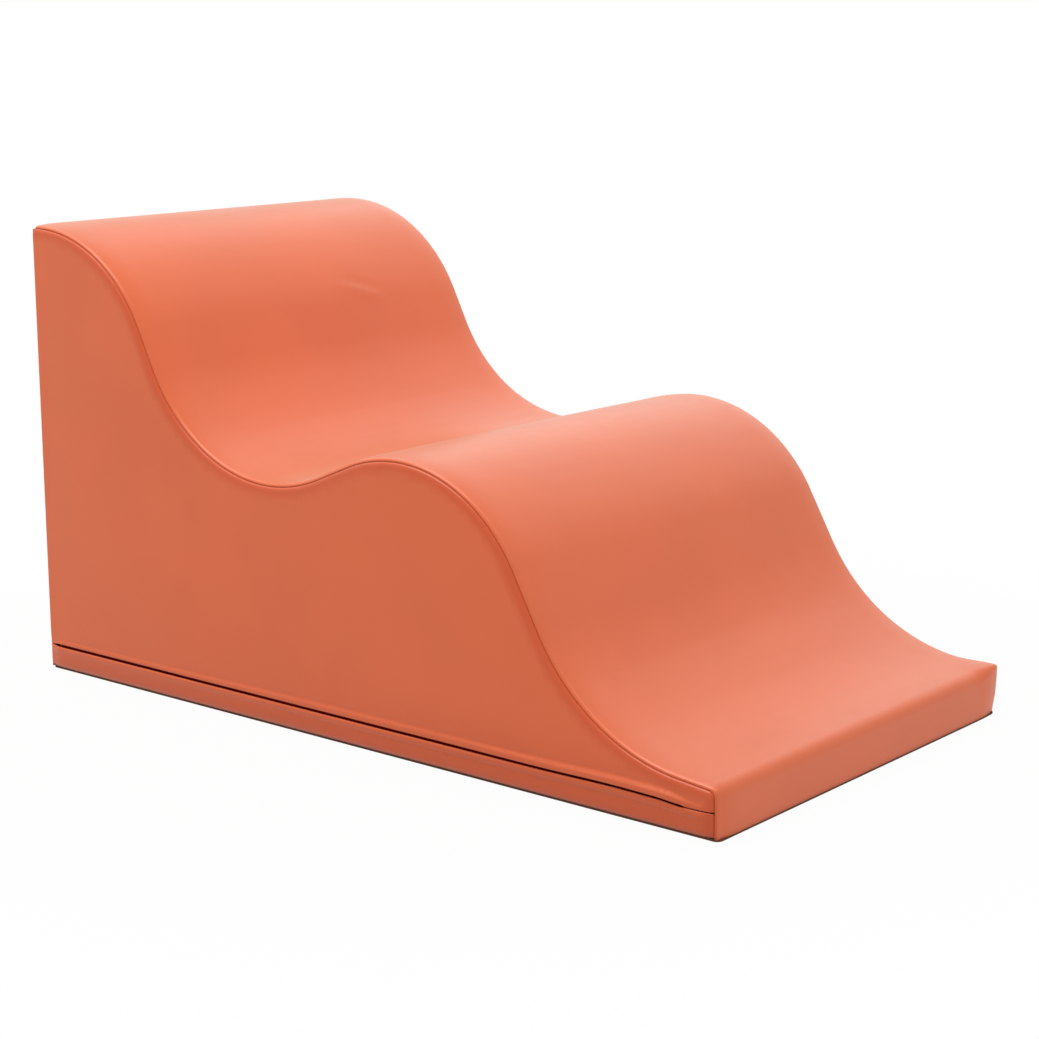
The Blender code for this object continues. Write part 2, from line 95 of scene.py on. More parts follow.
# The slit's sway and its closed ends, and parts of the zip that the CAD source leaves plain
SLIT_RISE = 0.0015
SLIT_SAG = 0.0026
SHUT_AT_REAR = 0.001
SHUT_AT_NOSE = 0.033
TAPE_RUFFLE = 0.00012
WARP_PITCH = 0.0007
WEFT_PITCH = 0.0011
TWIST_PITCH = 0.00035
COIL_MARGIN = 0.001
TACK_REACH = 0.0054
TACK_WIDTH = 0.0014
TACK_DEPTH = 0.0034
TACK_BOW = 0.0003

# How finely the cover and the zip are drawn
WAVE_STEP = 0.004
RIM_STEP = 0.004
PANEL_STEP = 0.009
FOLD_STEP = 0.0019
FOLD_REACH = 0.018
LIP_STEP = 0.0020
TOP_STEP = 0.003
TAPE_STEP = 0.006
BASE_STEP = 0.012
EDGE_ROWS = (0.0020, 0.0045, 0.0080, 0.0125)
MIDDLE_ROWS = 21
RIM_ROWS = (0.0007, 0.0015, 0.0025, 0.0036, 0.0050)
COIL_SIDES = 5
COIL_STEPS = 8
THREAD_SIDES = 6
STITCH_STEPS = 6

# The cloth simulation: every fifth row of the strip, every third point of a panel's outline
STRIP_SKIP = 5
STRIP_COLUMNS = 24
OUTLINE_SKIP = 3
SIM_STEP = 0.018
SIM_FRAMES = 20
SIM_SETTINGS = {
    "vertex_group_mass": "held", "use_pressure": True, "uniform_pressure_force": 4.0,
    "tension_stiffness": 40, "compression_stiffness": 40, "bending_stiffness": 2,
}

# The strip's cross-section from the seam inwards: the length of each stretch, and the angle of its outward
# normal at its end, from 0 for level to 90 for upright. A tight lip, then a surface that is almost flat.
SEAM_ANGLE = 15.0
LIP_BENDS = (
    (0.0022, 55), (0.0014, 80), (0.0022, 85), (0.0024, 83.5), (0.0050, 86.5), (0.0090, 88.5), (0.0080, 90),
)

# Edges of the strip and the panels. A corner is sharp where the sine of its turn is above SHARP_CORNER, and
# PINCH_CENTRE is in rolls: how far the middle of a pinched edge's roll lies from the seam.
WIDER_AT_NOSE = 0.0040
WIDER_AT_FOOT = 0.0015
HIDDEN_WIDTH = 0.0024
HIDDEN_DEPTHS = {"hem": 0.0023, "top": 0.0034}
HEM_ROLL = 0.0014
PINCH_ROLL = 0.0011
PINCH_CENTRE = 2.414
BACK_DROP = 0.0003
SHARP_CORNER = 0.35
CORNER_REACH = 0.020
FOOT_TURN = 0.0036
FAR_FOOT = 0.0020
BASE_NOSE_RADIUS = 0.008
BASE_REAR_RADIUS = 0.004
BASE_RIM = (
    (0.0016, 0.0026), (0.0010, 0.003), (0.0003, 0.0029), (0.0, 0.0024),
    (0.0001, 0.0012), (0.0005, 0.0004), (0.0014, 0.0), (0.004, 0.0), (0.009, 0.0),
)
FOAM_INSET = 0.0125

# Slack in the vinyl: a crease on the first slope, the nose's far corner, which is fuller above and tucked in
# below, and the seeds of the soft dents
CREASE_X = -0.3525
CREASE_Y = 0.080
CREASE_SLANT = 0.20
CREASE_ENDS = (0.064, 0.150)
CREASE_RISE = 0.0009
SLOPE_END = -0.32
FAR_CORNER = Vector((NOSE_X, SIDE_Y, 0.056))
CORNER_FULL = (0.002, 0.003, 0.004)
CORNER_TUCK = (0.0, -0.0045, 0.0008)
FULL_REACH = 0.060
TUCK_HEIGHT = 0.026
STRIP_SEED = 3.1
PANEL_SEED = 9.7

# Stage
FLOOR_REACH = 20.0
FLOOR_DROP = 0.0002
FLOOR_GREY = 0.72
FLOOR_SEEN = 0.96
FLOOR_FADE = (0.75, 1.25)
LAMPS = (
    ("front_softbox", "front_lamp", (-0.4, -0.9, 2.6), 1.6, 1.6),
    ("rear_softbox", "rear_lamp", (-0.6, 3.2, 2.65), 4.6, 2.9),
    ("nose_softbox", "nose_lamp", (2.2, 0.8, 1.6), 1.6, 1.6),
)
LAMP_AIM = Vector((0.0, 0.0, 0.3))
CAMERA_PLACE = (1.87826, -2.171716, 0.838744)
SENSOR_WIDTH = 36.0
LENS_SHIFT = -0.10
CLIP_DISTANCES = (0.05, 100.0)

# The finish that each slot takes
FINISHES = {
    "vinyl": "coral_vinyl",
    "base_cloth": "non_slip_cloth",
    "firm_foam": "firm_foam_cells",
    "soft_foam": "soft_foam_cells",
    "zip_tape": "woven_tape",
    "zip_coil": "nylon_coil",
    "thread": "sewing_thread",
}


def length_setting(name, description, default, least, most):
    return FloatProperty(
        name=name, description=description, default=default, min=least, max=most, unit="LENGTH",
    )


def colour_setting(name, description, default):
    return FloatVectorProperty(
        name=name, description=description, default=default, size=3, min=0.0, max=1.0, subtype="COLOR",
    )


def angle_setting(name, description, turn):
    return FloatProperty(name=name, description=description, default=radians(turn), subtype="ANGLE")


def power_setting(name, description, default):
    return FloatProperty(
        name=name, description=description, default=default, min=0.0, max=500.0, unit="POWER",
    )


class CoverSettings(bpy.types.PropertyGroup):
    """Sizes of the sewn cover."""

    crown: length_setting(
        "Swell", "How far a side panel stands out in its middle, pushed by the foam", 0.0022, 0.0, 0.01)
    top_crown: length_setting(
        "Top swell", "How far the climbing surface stands out along its middle", 0.0012, 0.0, 0.01)
    seam_roll: length_setting(
        "Seam roll", "Radius at which each cloth edge turns in at a seam", 0.0008, 0.0005, 0.003)
    lip_depth: length_setting(
        "Lip depth", "How far a side panel's lip turns in, over the edge of the foam, to the seam",
        0.0028, 0.0, 0.005)
    lip_height: length_setting(
        "Lip height", "Distance from the seam at which a side panel starts to turn in", 0.0080, 0.002, 0.012)
    ridge: length_setting(
        "Seam ridge", "How far the turned-in seam allowance lifts a panel beside a seam", 0.0004, 0.0, 0.002)
    pucker: length_setting(
        "Pucker", "Height of the small gathers beside the seams", 0.00010, 0.0, 0.001)
    dent: length_setting(
        "Unevenness", "Height of the long soft dents in the foam under the vinyl", 0.0004, 0.0, 0.003)
    hem_proud: length_setting(
        "Hem flare", "How far the hem over the zip stands out at its lip, next to the nose",
        0.0042, 0.0, 0.006)


class FinishSettings(bpy.types.PropertyGroup):
    """Colours and gloss of the materials."""

    vinyl: colour_setting("Vinyl", "Coral colour of the cover", (0.73, 0.137, 0.045))
    # Painted shade: this deeper coral is mixed into the vinyl beside the wave seams, in the seam grooves,
    # along the floor and low on the near side.
    vinyl_shade: colour_setting(
        "Vinyl in folds", "Deeper coral where the vinyl is drawn tight beside a seam", (0.64, 0.088, 0.022))
    vinyl_roughness: FloatProperty(
        name="Vinyl roughness", description="0 is glossy and 1 is matt",
        default=0.36, min=0.0, max=1.0, subtype="FACTOR",
    )
    base_cloth: colour_setting("Base cloth", "Dark non-slip cloth of the underside", (0.13, 0.052, 0.030))
    firm_foam: colour_setting("Firm foam", "Slab and wave core", (0.80, 0.78, 0.70))
    soft_foam: colour_setting("Soft foam", "Layer under the climbing surface", (0.86, 0.80, 0.58))
    zip_tape: colour_setting("Zip tape", "Dark maroon woven tape", (0.210, 0.0012, 0.0008))
    zip_coil: colour_setting("Zip coil", "Dark maroon nylon", (0.240, 0.0015, 0.0010))
    thread: colour_setting("Thread", "Coral sewing thread", (0.50, 0.11, 0.05))
    slider: colour_setting("Zip slider", "Nickel plate on the slider", (0.55, 0.54, 0.52))


class ZipSettings(bpy.types.PropertyGroup):
    """Sizes of the hidden zip."""

    coil_pitch: length_setting(
        "Coil pitch", "Distance from one turn of the coil to the next", 0.0016, 0.001, 0.005)
    filament: length_setting(
        "Filament", "Diameter of the nylon filament that the coil is wound from", 0.0007, 0.0002, 0.0012)
    thread_width: length_setting("Thread width", "Diameter of the sewing thread", 0.0005, 0.0002, 0.0015)
    tack_turns: IntProperty(
        name="Tack turns", description="Turns of thread in each bar that closes an end of the zip",
        default=14, min=4, max=40,
    )


class StageSettings(bpy.types.PropertyGroup):
    """Camera and light."""

    azimuth: angle_setting(
        "Azimuth", "Direction of the camera round the climber, from the near side towards the nose", 40.3752)
    elevation: angle_setting("Elevation", "Height of the camera's line above the horizon", 9.4694)
    roll: angle_setting("Roll", "Tilt of the camera about its own line", 0.6521)
    lens: FloatProperty(
        name="Lens", description="Focal length on a 36 mm wide sensor", default=79.243, min=20.0, max=200.0,
    )
    front_lamp: power_setting("Front softbox", "Power of the soft lamp overhead, towards the near side", 24.0)
    rear_lamp: power_setting(
        "Rear softbox", "Power of the broad soft lamp behind, which gives the upper faces their sheen", 33.0)
    nose_lamp: power_setting(
        "Nose softbox", "Power of the soft lamp beyond the nose, which lifts the slopes", 2.8)
    ambient: FloatProperty(
        name="Ambient", description="Level of the even light from all round", default=0.77, min=0.0, max=2.0,
    )


def chosen(group):
    """One group of the settings."""
    return getattr(bpy.context.scene, "climber_" + group)


# Materials


def math_method(operation, reflected=False):
    """A method that adds a Math node on a socket and another value."""

    def method(self, other):
        return self.math(operation, *((other, self) if reflected else (self, other)))

    return method


class Sum:
    """Wraps a value socket, so that sums on it add Math nodes."""

    def __init__(self, finish, socket):
        self.finish = finish
        self.socket = socket

    def math(self, operation, *values):
        return self.finish.node("ShaderNodeMath", {"operation": operation}, dict(enumerate(values)))

    __add__, __radd__ = math_method("ADD"), math_method("ADD", True)
    __sub__, __rsub__ = math_method("SUBTRACT"), math_method("SUBTRACT", True)
    __mul__, __rmul__ = math_method("MULTIPLY"), math_method("MULTIPLY", True)
    most, least = math_method("MAXIMUM"), math_method("MINIMUM")

    def sine(self, pitch):
        return self.math("SINE", self * (2 * pi / pitch))

    def ramp(self, low, high):
        """0 below low, 1 above high, and a smooth rise between."""
        settings = {"interpolation_type": "SMOOTHSTEP"}
        inputs = {"Value": self, "From Min": low, "From Max": high}
        return self.finish.node("ShaderNodeMapRange", settings, inputs, "Result")


class Finish:
    """One material and its nodes."""

    def __init__(self, name, holder=None):
        self.material = holder or bpy.data.materials.new(name)
        self.material.use_nodes = True
        self.tree = self.material.node_tree
        self.tree.nodes.clear()

    def node(self, kind, settings=None, inputs=None, output=0):
        """Adds a node: settings first, then the values or links of its sockets. Gives one output."""
        made = self.tree.nodes.new(kind)
        for key, value in (settings or {}).items():
            setattr(made, key, value)
        for key, value in (inputs or {}).items():
            if isinstance(value, Sum):
                self.tree.links.new(value.socket, made.inputs[key])
            else:
                made.inputs[key].default_value = value
        return Sum(self, made.outputs[output]) if made.outputs else made

    def place(self):
        """Position on the object, in metres."""
        return self.node("ShaderNodeTexCoord", output="Object")

    def layer(self, name):
        """Numbers that the mesh holds for its points."""
        return self.node("ShaderNodeAttribute", {"attribute_name": name}, None, "Fac")

    def parts(self, vector):
        """The three values of a vector."""
        return [self.node("ShaderNodeSeparateXYZ", None, {0: vector}, axis) for axis in "XYZ"]

    def stretched(self, vector, scale):
        return self.node("ShaderNodeVectorMath", {"operation": "MULTIPLY"}, {0: vector, 1: scale})

    def noise(self, vector, scale, detail=2.0, roughness=0.5):
        inputs = {"Vector": vector, "Scale": scale, "Detail": detail, "Roughness": roughness}
        return self.node("ShaderNodeTexNoise", {"noise_dimensions": "3D"}, inputs, "Fac")

    def cells(self, vector, scale, feature="F1", randomness=1.0):
        settings = {"feature": feature, "voronoi_dimensions": "3D"}
        inputs = {"Vector": vector, "Scale": scale, "Randomness": randomness}
        return self.node("ShaderNodeTexVoronoi", settings, inputs, "Distance")

    def mix(self, factor, first, second):
        """Mixes two colours."""
        colours = [c if isinstance(c, Sum) else (*c, 1.0) for c in (first, second)]
        return self.node("ShaderNodeMix", {"data_type": "RGBA"}, {0: factor, 6: colours[0], 7: colours[1]}, 2)

    def bump(self, height, distance, strength=1.0):
        inputs = {"Height": height, "Distance": distance, "Strength": strength}
        return self.node("ShaderNodeBump", None, inputs, "Normal")

    def seen(self):
        """1 for rays that look straight at the surface or through a mirror or glass, and 0 for light."""
        kinds = ("Camera", "Glossy", "Transmission")
        rays = [self.node("ShaderNodeLightPath", output=f"Is {kind} Ray") for kind in kinds]
        return rays[0].most(rays[1]).most(rays[2])

    def surface(self, **sockets):
        """The shader at the end, with its sockets named in lower case."""
        inputs = {}
        for key, value in sockets.items():
            inputs[key.replace("_", " ").title().replace("Ior", "IOR")] = value
        shader = self.node("ShaderNodeBsdfPrincipled", None, inputs)
        self.node("ShaderNodeOutputMaterial", None, {"Surface": shader})


def begin(name, setting):
    """A new finish, with the position on the object and the colour chosen for it."""
    m = Finish(name)
    return m, m.place(), tuple(getattr(chosen("finish"), setting))


def shade(colour, factor):
    return tuple(channel * factor for channel in colour)


def vinyl_material():
    m, place, colour = begin("coral_vinyl", "vinyl")
    look = chosen("finish")
    deep = tuple(look.vinyl_shade)
    seam, drawn, lip = m.layer("seam"), m.layer("drawn"), m.layer("lip")
    broad = m.noise(place, 7.0)
    fine = m.noise(place, 60.0, 3.0, 0.6)
    upward = m.parts(m.node("ShaderNodeNewGeometry", output="Normal"))[2]
    along, across, height = m.parts(place)
    facing_up = upward.ramp(0.50, 0.80)
    groove_shade = 1 - seam.ramp(-0.0022, -0.0003)
    near_side = 1 - across.ramp(0.003 - SIDE_Y, 0.006 - SIDE_Y)
    low = 1 - height.ramp(0.006, 0.050)
    over_zip = (1 - height.ramp(0.030, 0.110)) * along.ramp(-0.35, 0.25)
    fold = upward.ramp(0.20, 0.65) * near_side * (1 - height.ramp(0.045, 0.060))
    # Painted shade low on the near side, and over the zip towards the nose; the upward-facing hem fold is
    # mostly left out of it.
    near_side_shade = (low + over_zip * 0.38).least(1.0) * near_side * (1 - fold * 0.8)
    floor_edge_shade = 1 - height.ramp(0.0005, 0.0085)
    tone = m.mix(broad.ramp(0.30, 0.70), shade(colour, 0.975), shade(colour, 1.02))
    tone = m.mix(fine * 0.10, tone, shade(colour, 0.90))
    # Painted shade: a deeper coral band beside the wave seams.
    tone = m.mix(drawn * 0.85, tone, deep)
    # Mixes in the painted shade low on the near side.
    tone = m.mix(near_side_shade * 0.55, tone, shade(deep, 0.78))
    # Painted highlight on the lips beside the seams where they face up, and on the upward-facing hem fold
    # over the zip.
    tone = m.mix((lip * facing_up).most(fold * 0.25), tone, shade(colour, 1.22))
    # Painted shade along the floor, strongest on the near side.
    tone = m.mix(floor_edge_shade * (0.35 + near_side * 0.5), tone, shade(deep, 0.30))
    # Painted shade in the seam grooves and on the hidden edges of the cloth.
    tone = m.mix(groove_shade * 0.7, tone, shade(deep, 0.58))
    grain = m.cells(place, 1150.0, "SMOOTH_F1")
    pores = m.noise(place, 620.0, 2.0, 0.55)
    m.surface(
        base_color=tone,
        roughness=look.vinyl_roughness + (fine - 0.5) * 0.10 + (broad - 0.5) * 0.06 + floor_edge_shade * 0.3,
        normal=m.bump(grain * 0.5 + pores * 0.8 + fine * 0.25, 0.00006, 0.55),
        coat_weight=lip * (0.15 + facing_up * 0.8) + fold * 0.2, coat_roughness=0.25,
        specular_ior_level=0.28, sheen_weight=0.40, sheen_roughness=0.4, sheen_tint=(1.0, 0.94, 0.74, 1.0),
    )


def base_cloth_material():
    m, place, colour = begin("non_slip_cloth", "base_cloth")
    stud = 1 - m.cells(place, 420.0, "F1", 0.25).ramp(0.20, 0.42)
    worn = m.noise(place, 16.0, 3.0, 0.6)
    weave = m.noise(m.stretched(place, (900.0, 260.0, 900.0)), 1.0, 1.0)
    tone = m.mix(worn, shade(colour, 0.75), shade(colour, 1.35))
    m.surface(
        base_color=m.mix(stud * 0.7, tone, shade(colour, 0.5)), roughness=0.80 - stud * 0.18,
        normal=m.bump(stud + weave * 0.3, 0.0003, 0.8), specular_ior_level=0.15,
    )


def foam_material(name, setting, cell_scale):
    m, place, colour = begin(name, setting)
    wall = m.cells(place, cell_scale).ramp(0.15, 0.6)
    patch = m.noise(place, 24.0, 3.0, 0.6)
    settings = {"wave_type": "BANDS", "bands_direction": "Z"}
    inputs = {"Vector": place, "Scale": 60.0, "Distortion": 3.0, "Detail": 2.0}
    cut = m.node("ShaderNodeTexWave", settings, inputs, "Fac")
    tone = m.mix(wall, shade(colour, 0.66), colour)
    m.surface(
        base_color=m.mix(patch * 0.30, tone, shade(colour, 0.82)), roughness=0.92 - patch * 0.06,
        normal=m.bump(wall + cut * 0.15 + patch * 0.4, 0.0006, 0.8), specular_ior_level=0.2,
    )


def tape_material():
    m, place, colour = begin("woven_tape", "zip_tape")
    x, _, z = m.parts(place)
    weave = z.sine(WARP_PITCH) * x.sine(WEFT_PITCH) * 0.5 + 0.5
    fuzz = m.noise(place, 500.0)
    tone = m.mix(weave, shade(colour, 0.55), shade(colour, 1.6))
    m.surface(
        base_color=m.mix(fuzz * 0.3, tone, shade(colour, 2.4)), roughness=0.86 - fuzz * 0.1,
        normal=m.bump(weave + fuzz * 0.3, 0.00018, 0.9), specular_ior_level=0.05,
    )


def coil_material():
    m, place, colour = begin("nylon_coil", "zip_coil")
    streak = m.noise(place, 900.0)
    scuff = m.noise(place, 130.0, 3.0, 0.6)
    m.surface(
        base_color=m.mix(scuff, shade(colour, 0.7), shade(colour, 1.5)), roughness=0.45 + scuff * 0.16,
        normal=m.bump(streak, 0.00003, 0.5), specular_ior_level=0.10,
    )


def thread_material():
    m, place, colour = begin("sewing_thread", "thread")
    x, y, z = m.parts(place)
    twist = (x + y + z).sine(TWIST_PITCH) * 0.5 + 0.5
    fuzz = m.noise(place, 1400.0)
    m.surface(
        base_color=m.mix(twist, shade(colour, 0.6), shade(colour, 1.25)), roughness=0.62 + fuzz * 0.12,
        normal=m.bump(twist + fuzz * 0.3, 0.00008, 0.8), sheen_weight=0.25, sheen_roughness=0.4,
    )


def slider_material():
    m, place, colour = begin("nickel_plate", "slider")
    brushed = m.noise(m.stretched(place, (90.0, 2200.0, 2200.0)), 1.0)
    cloud = m.noise(place, 260.0, 3.0, 0.6)
    m.surface(
        base_color=m.mix(cloud, shade(colour, 0.86), shade(colour, 1.1)), metallic=1.0,
        roughness=0.24 + brushed * 0.14 + cloud * 0.06, normal=m.bump(brushed, 0.00002, 0.5),
    )


# Shapes


def left_of(direction):
    return Vector((-direction.y, direction.x))


def smooth(value):
    """0 below 0, 1 above 1, and a smooth rise between."""
    t = min(max(value, 0.0), 1.0)
    return t * t * (3 - 2 * t)


def hill(value, centre, spread):
    return exp(-(((value - centre) / spread) ** 2))


def spaced(start, end, spacing):
    """Points from start to end, without the end."""
    count = max(1, round((end - start).length / spacing))
    return [start.lerp(end, i / count) for i in range(count)]


def spaced_along(start, end, spacing):
    """Values of x from start to end, without the end."""
    return [p.x for p in spaced(Vector((start, 0)), Vector((end, 0)), spacing)]


def rounded_path(corners, spacing, counts=None):
    """Points and outward normals along straight runs joined by round bends.

    corners holds a point and a reach for each corner: how far from it its bend starts. counts repeats the
    numbers of points of another path, so that the two can be mixed point by point.
    """
    points, normals, used = [], [], []
    given = iter(counts or [])

    def count_of(wanted):
        used.append(next(given, max(1, wanted)))
        return used[-1]

    def straight(start, end):
        count = count_of(round((end - start).length / spacing))
        points.extend(start.lerp(end, i / count) for i in range(count))
        normals.extend([left_of((end - start).normalized())] * count)

    here = corners[0][0]
    for (before, _), (corner, reach), (after, _) in zip(corners, corners[1:], corners[2:]):
        arriving = (corner - before).normalized()
        leaving = (after - corner).normalized()
        turn = atan2(arriving.cross(leaving), arriving.dot(leaving))
        radius = reach / tan(abs(turn) / 2)
        start = corner - arriving * reach
        straight(here, start)
        centre = start + left_of(arriving) * radius * copysign(1.0, turn)
        steps = count_of(max(round(abs(turn) * radius / spacing), ceil(degrees(abs(turn)) / 9)))
        for i in range(steps):
            turned = Matrix.Rotation(turn * i / steps, 2)
            points.append(centre + turned @ (start - centre))
            normals.append(left_of(turned @ arriving))
        here = corner + leaving * reach
    end = corners[-1][0]
    straight(here, end)
    points.append(end)
    normals.append(normals[-1])
    return points, normals, used


def wave_corners(nose_radius):
    """Corners of the climbing surface with their reaches, from the rear edge to the nose edge."""
    bends = (CREST_SHARES, VALLEY_SHARES, HUMP_SHARES, FOOT_SHARES)
    nose = Vector((NOSE_X, NOSE_HEIGHT))
    places = [Vector((REAR_X + along * LENGTH, up * REAR_HEIGHT)) for along, up, _ in bends]
    route = [Vector((REAR_X, REAR_HEIGHT)), *places, nose]
    found = []
    for before, corner, after, shares in zip(route, route[1:], route[2:], bends):
        found.append((corner, shares[2] * min((corner - before).length, (after - corner).length)))
    turn = acos((nose - places[-1]).normalized().dot(Vector((0, -1))))
    return [*found, (nose, nose_radius * tan(turn / 2))]


def strip_path(spacing, nose_radius=NOSE_RADIUS, counts=None):
    """Side view of the top strip: up over the rear edge, along the wave and down the nose."""
    start = (Vector((REAR_X, REAR_HEIGHT - SEAM_INSET)), 0)
    rear = (Vector((REAR_X, REAR_HEIGHT)), SEAM_INSET)
    end = (Vector((NOSE_X, COVER_BOTTOM)), 0)
    return rounded_path([start, rear, *wave_corners(nose_radius), end], spacing, counts)


def nose_point(y):
    """How far the nose edge is drawn to a tight corner: 0 in the middle, and most at the side seams."""
    return 0.20 * (1 - smooth((y + SIDE_Y) / 0.05)) + 0.85 * (1 - smooth((SIDE_Y - y) / 0.05))


class NosePaths:
    """The strip's side view at any place across its width: round in the middle, tighter at the seams."""

    def __init__(self, spacing):
        self.points, self.normals, counts = strip_path(spacing)
        self.tight_points, self.tight_normals, _ = strip_path(spacing, NOSE_TIP_RADIUS, counts)

    def at(self, index, y):
        share = nose_point(y)
        point = self.points[index].lerp(self.tight_points[index], share)
        return point, self.normals[index].lerp(self.tight_normals[index], share).normalized()


def lip_highlight_share(distance):
    """1 on the narrow lip beside a seam, and 0 away from it. The vinyl's coat follows it, and so does its
    painted highlight where the lip faces up.
    """
    return smooth((distance - 0.0003) / 0.0011) * (1 - smooth((distance - 0.0034) / 0.0028))


def lip_inset(distance):
    """How far a side panel's lip lies behind its face: it turns in over the edge of the foam to the seam."""
    cover = chosen("cover")
    return cover.lip_depth * max(1 - distance / cover.lip_height, 0.0) ** 2.5


def flank_height(distance):
    """Height of a side or back panel beside a seam: a low flank that falls away from the seam."""
    return 1.2 * chosen("cover").ridge * (1 - smooth((distance - 0.0010) / 0.0160)) * smooth(distance / 0.002)


def pucker_height(along, distance, seed):
    """Small uneven gathers beside a seam."""
    near = smooth(1 - (distance - 0.002) / 0.014) * smooth(distance / 0.002)
    if near <= 0:
        return 0.0
    wave = noise.noise(Vector((along / 0.011, seed, distance / 0.03)))
    strength = 0.5 + noise.noise(Vector((along / 0.09, seed + 7.3, 0.0)))
    return chosen("cover").pucker * 2.0 * wave * max(strength, 0.0) * near


def dent_height(place, seed):
    """Long soft dents of the foam."""
    offset = Vector((seed, seed * 1.7, -seed))
    broad = noise.noise(place / 0.16 + offset)
    small = noise.noise(place / 0.07 + offset * 2)
    return chosen("cover").dent * (broad + 0.35 * small)


def crease_height(x, y):
    """One small crease across the first slope, where the vinyl has been folded."""
    line = CREASE_X + CREASE_SLANT * (y - CREASE_Y)
    ends = smooth((y - CREASE_ENDS[0]) / 0.03) * smooth((CREASE_ENDS[1] - y) / 0.02)
    return CREASE_RISE * (hill(x, line, 0.0030) - 0.9 * hill(x, line - 0.0065, 0.0038)) * ends


def slack_corner(point):
    """Moves a point of the cover: the nose's far corner is fuller above, and tucked in and up below."""
    spot = Vector(point)
    full = smooth(1 - (spot - FAR_CORNER).length / FULL_REACH)
    by_nose, by_side = smooth((spot.x - NOSE_X + 0.040) / 0.035), smooth((spot.y - SIDE_Y + 0.045) / 0.040)
    tuck = by_nose * by_side * (1 - smooth(spot.z / TUCK_HEIGHT))
    return spot + Vector([more * full + less * tuck for more, less in zip(CORNER_FULL, CORNER_TUCK)])


def make_object(name, points, faces, finish, layers=None, smooth_faces=True):
    """A mesh object. layers holds a number for each point under the name that its material reads."""
    mesh = bpy.data.meshes.new(name)
    mesh.from_pydata(points, [], faces)
    mesh.materials.append(bpy.data.materials[finish])
    if smooth_faces:
        mesh.shade_smooth()
    for layer_name, values in (layers or {}).items():
        layer = mesh.attributes.new(layer_name, "FLOAT", "POINT")
        layer.data.foreach_set("value", values)
    made = bpy.data.objects.new(name, mesh)
    bpy.context.scene.collection.objects.link(made)
    return made


def dress(piece, node):
    """Ties a piece to its body and hides the CAD node that it stands for."""
    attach(piece, "climber")
    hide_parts(node)


def make_piece(name, node, slot, points, faces, layers=None, smooth_faces=True):
    """A mesh object with the finish of its slot, dressed."""
    dress(make_object(name, points, faces, FINISHES[slot], layers, smooth_faces), node)


def grid_faces(rows, columns, loop=False, turned=False):
    """Faces of a grid stored row by row. loop joins the last column to the first."""
    faces = []
    for row in range(rows - 1):
        for column in range(columns if loop else columns - 1):
            a, b = row * columns + column, row * columns + (column + 1) % columns
            face = (a, b, b + columns, a + columns)
            faces.append(face[::-1] if turned else face)
    return faces


def nearest(places):
    """A search tree of numbered points, flat or not."""
    tree = KDTree(len(places))
    for index, p in places:
        tree.insert(Vector(p).to_3d(), index)
    tree.balance()
    return tree


class Swell:
    """How far a cloth panel stands out when it is held at its edges and pushed from inside."""

    def __init__(self, name, points, faces, held, crown):
        self.tree = BVHTree.FromPolygons(points, faces)
        self.points = points
        self.faces = faces
        self.heights = self.simulated(name, held, crown)

    def simulated(self, name, held, crown):
        scene = bpy.context.scene
        mesh = bpy.data.meshes.new(name)
        mesh.from_pydata(self.points, [], self.faces)
        cloth = bpy.data.objects.new(name, mesh)
        scene.collection.objects.link(cloth)
        cloth.vertex_groups.new(name="held").add(held, 1.0, "ADD")
        physics = cloth.modifiers.new("swell", "CLOTH")
        for key, value in SIM_SETTINGS.items():
            setattr(physics.settings, key, value)
        physics.settings.effector_weights.gravity = 0
        physics.point_cache.frame_start = 1
        physics.point_cache.frame_end = SIM_FRAMES
        for moment in range(1, SIM_FRAMES + 1):
            scene.frame_set(moment)
        blown = cloth.evaluated_get(bpy.context.evaluated_depsgraph_get())
        normals = [v.normal.copy() for v in mesh.vertices]
        moved = [(v.co - p).dot(n) for v, p, n in zip(blown.data.vertices, self.points, normals)]
        bpy.data.objects.remove(cloth, do_unlink=True)
        scene.frame_set(1)
        most = max(map(abs, moved))
        if not 1e-6 < most < 1.0:
            raise RuntimeError(f"{name}: the cloth moved {most} m, so it didn't swell")
        return [crown * height / most for height in moved]

    def at(self, place):
        spot, _, index, _ = self.tree.find_nearest(place)
        corners = self.faces[index]
        weights = poly_3d_calc([self.points[i] for i in corners], spot)
        return sum(w * self.heights[i] for w, i in zip(weights, corners))


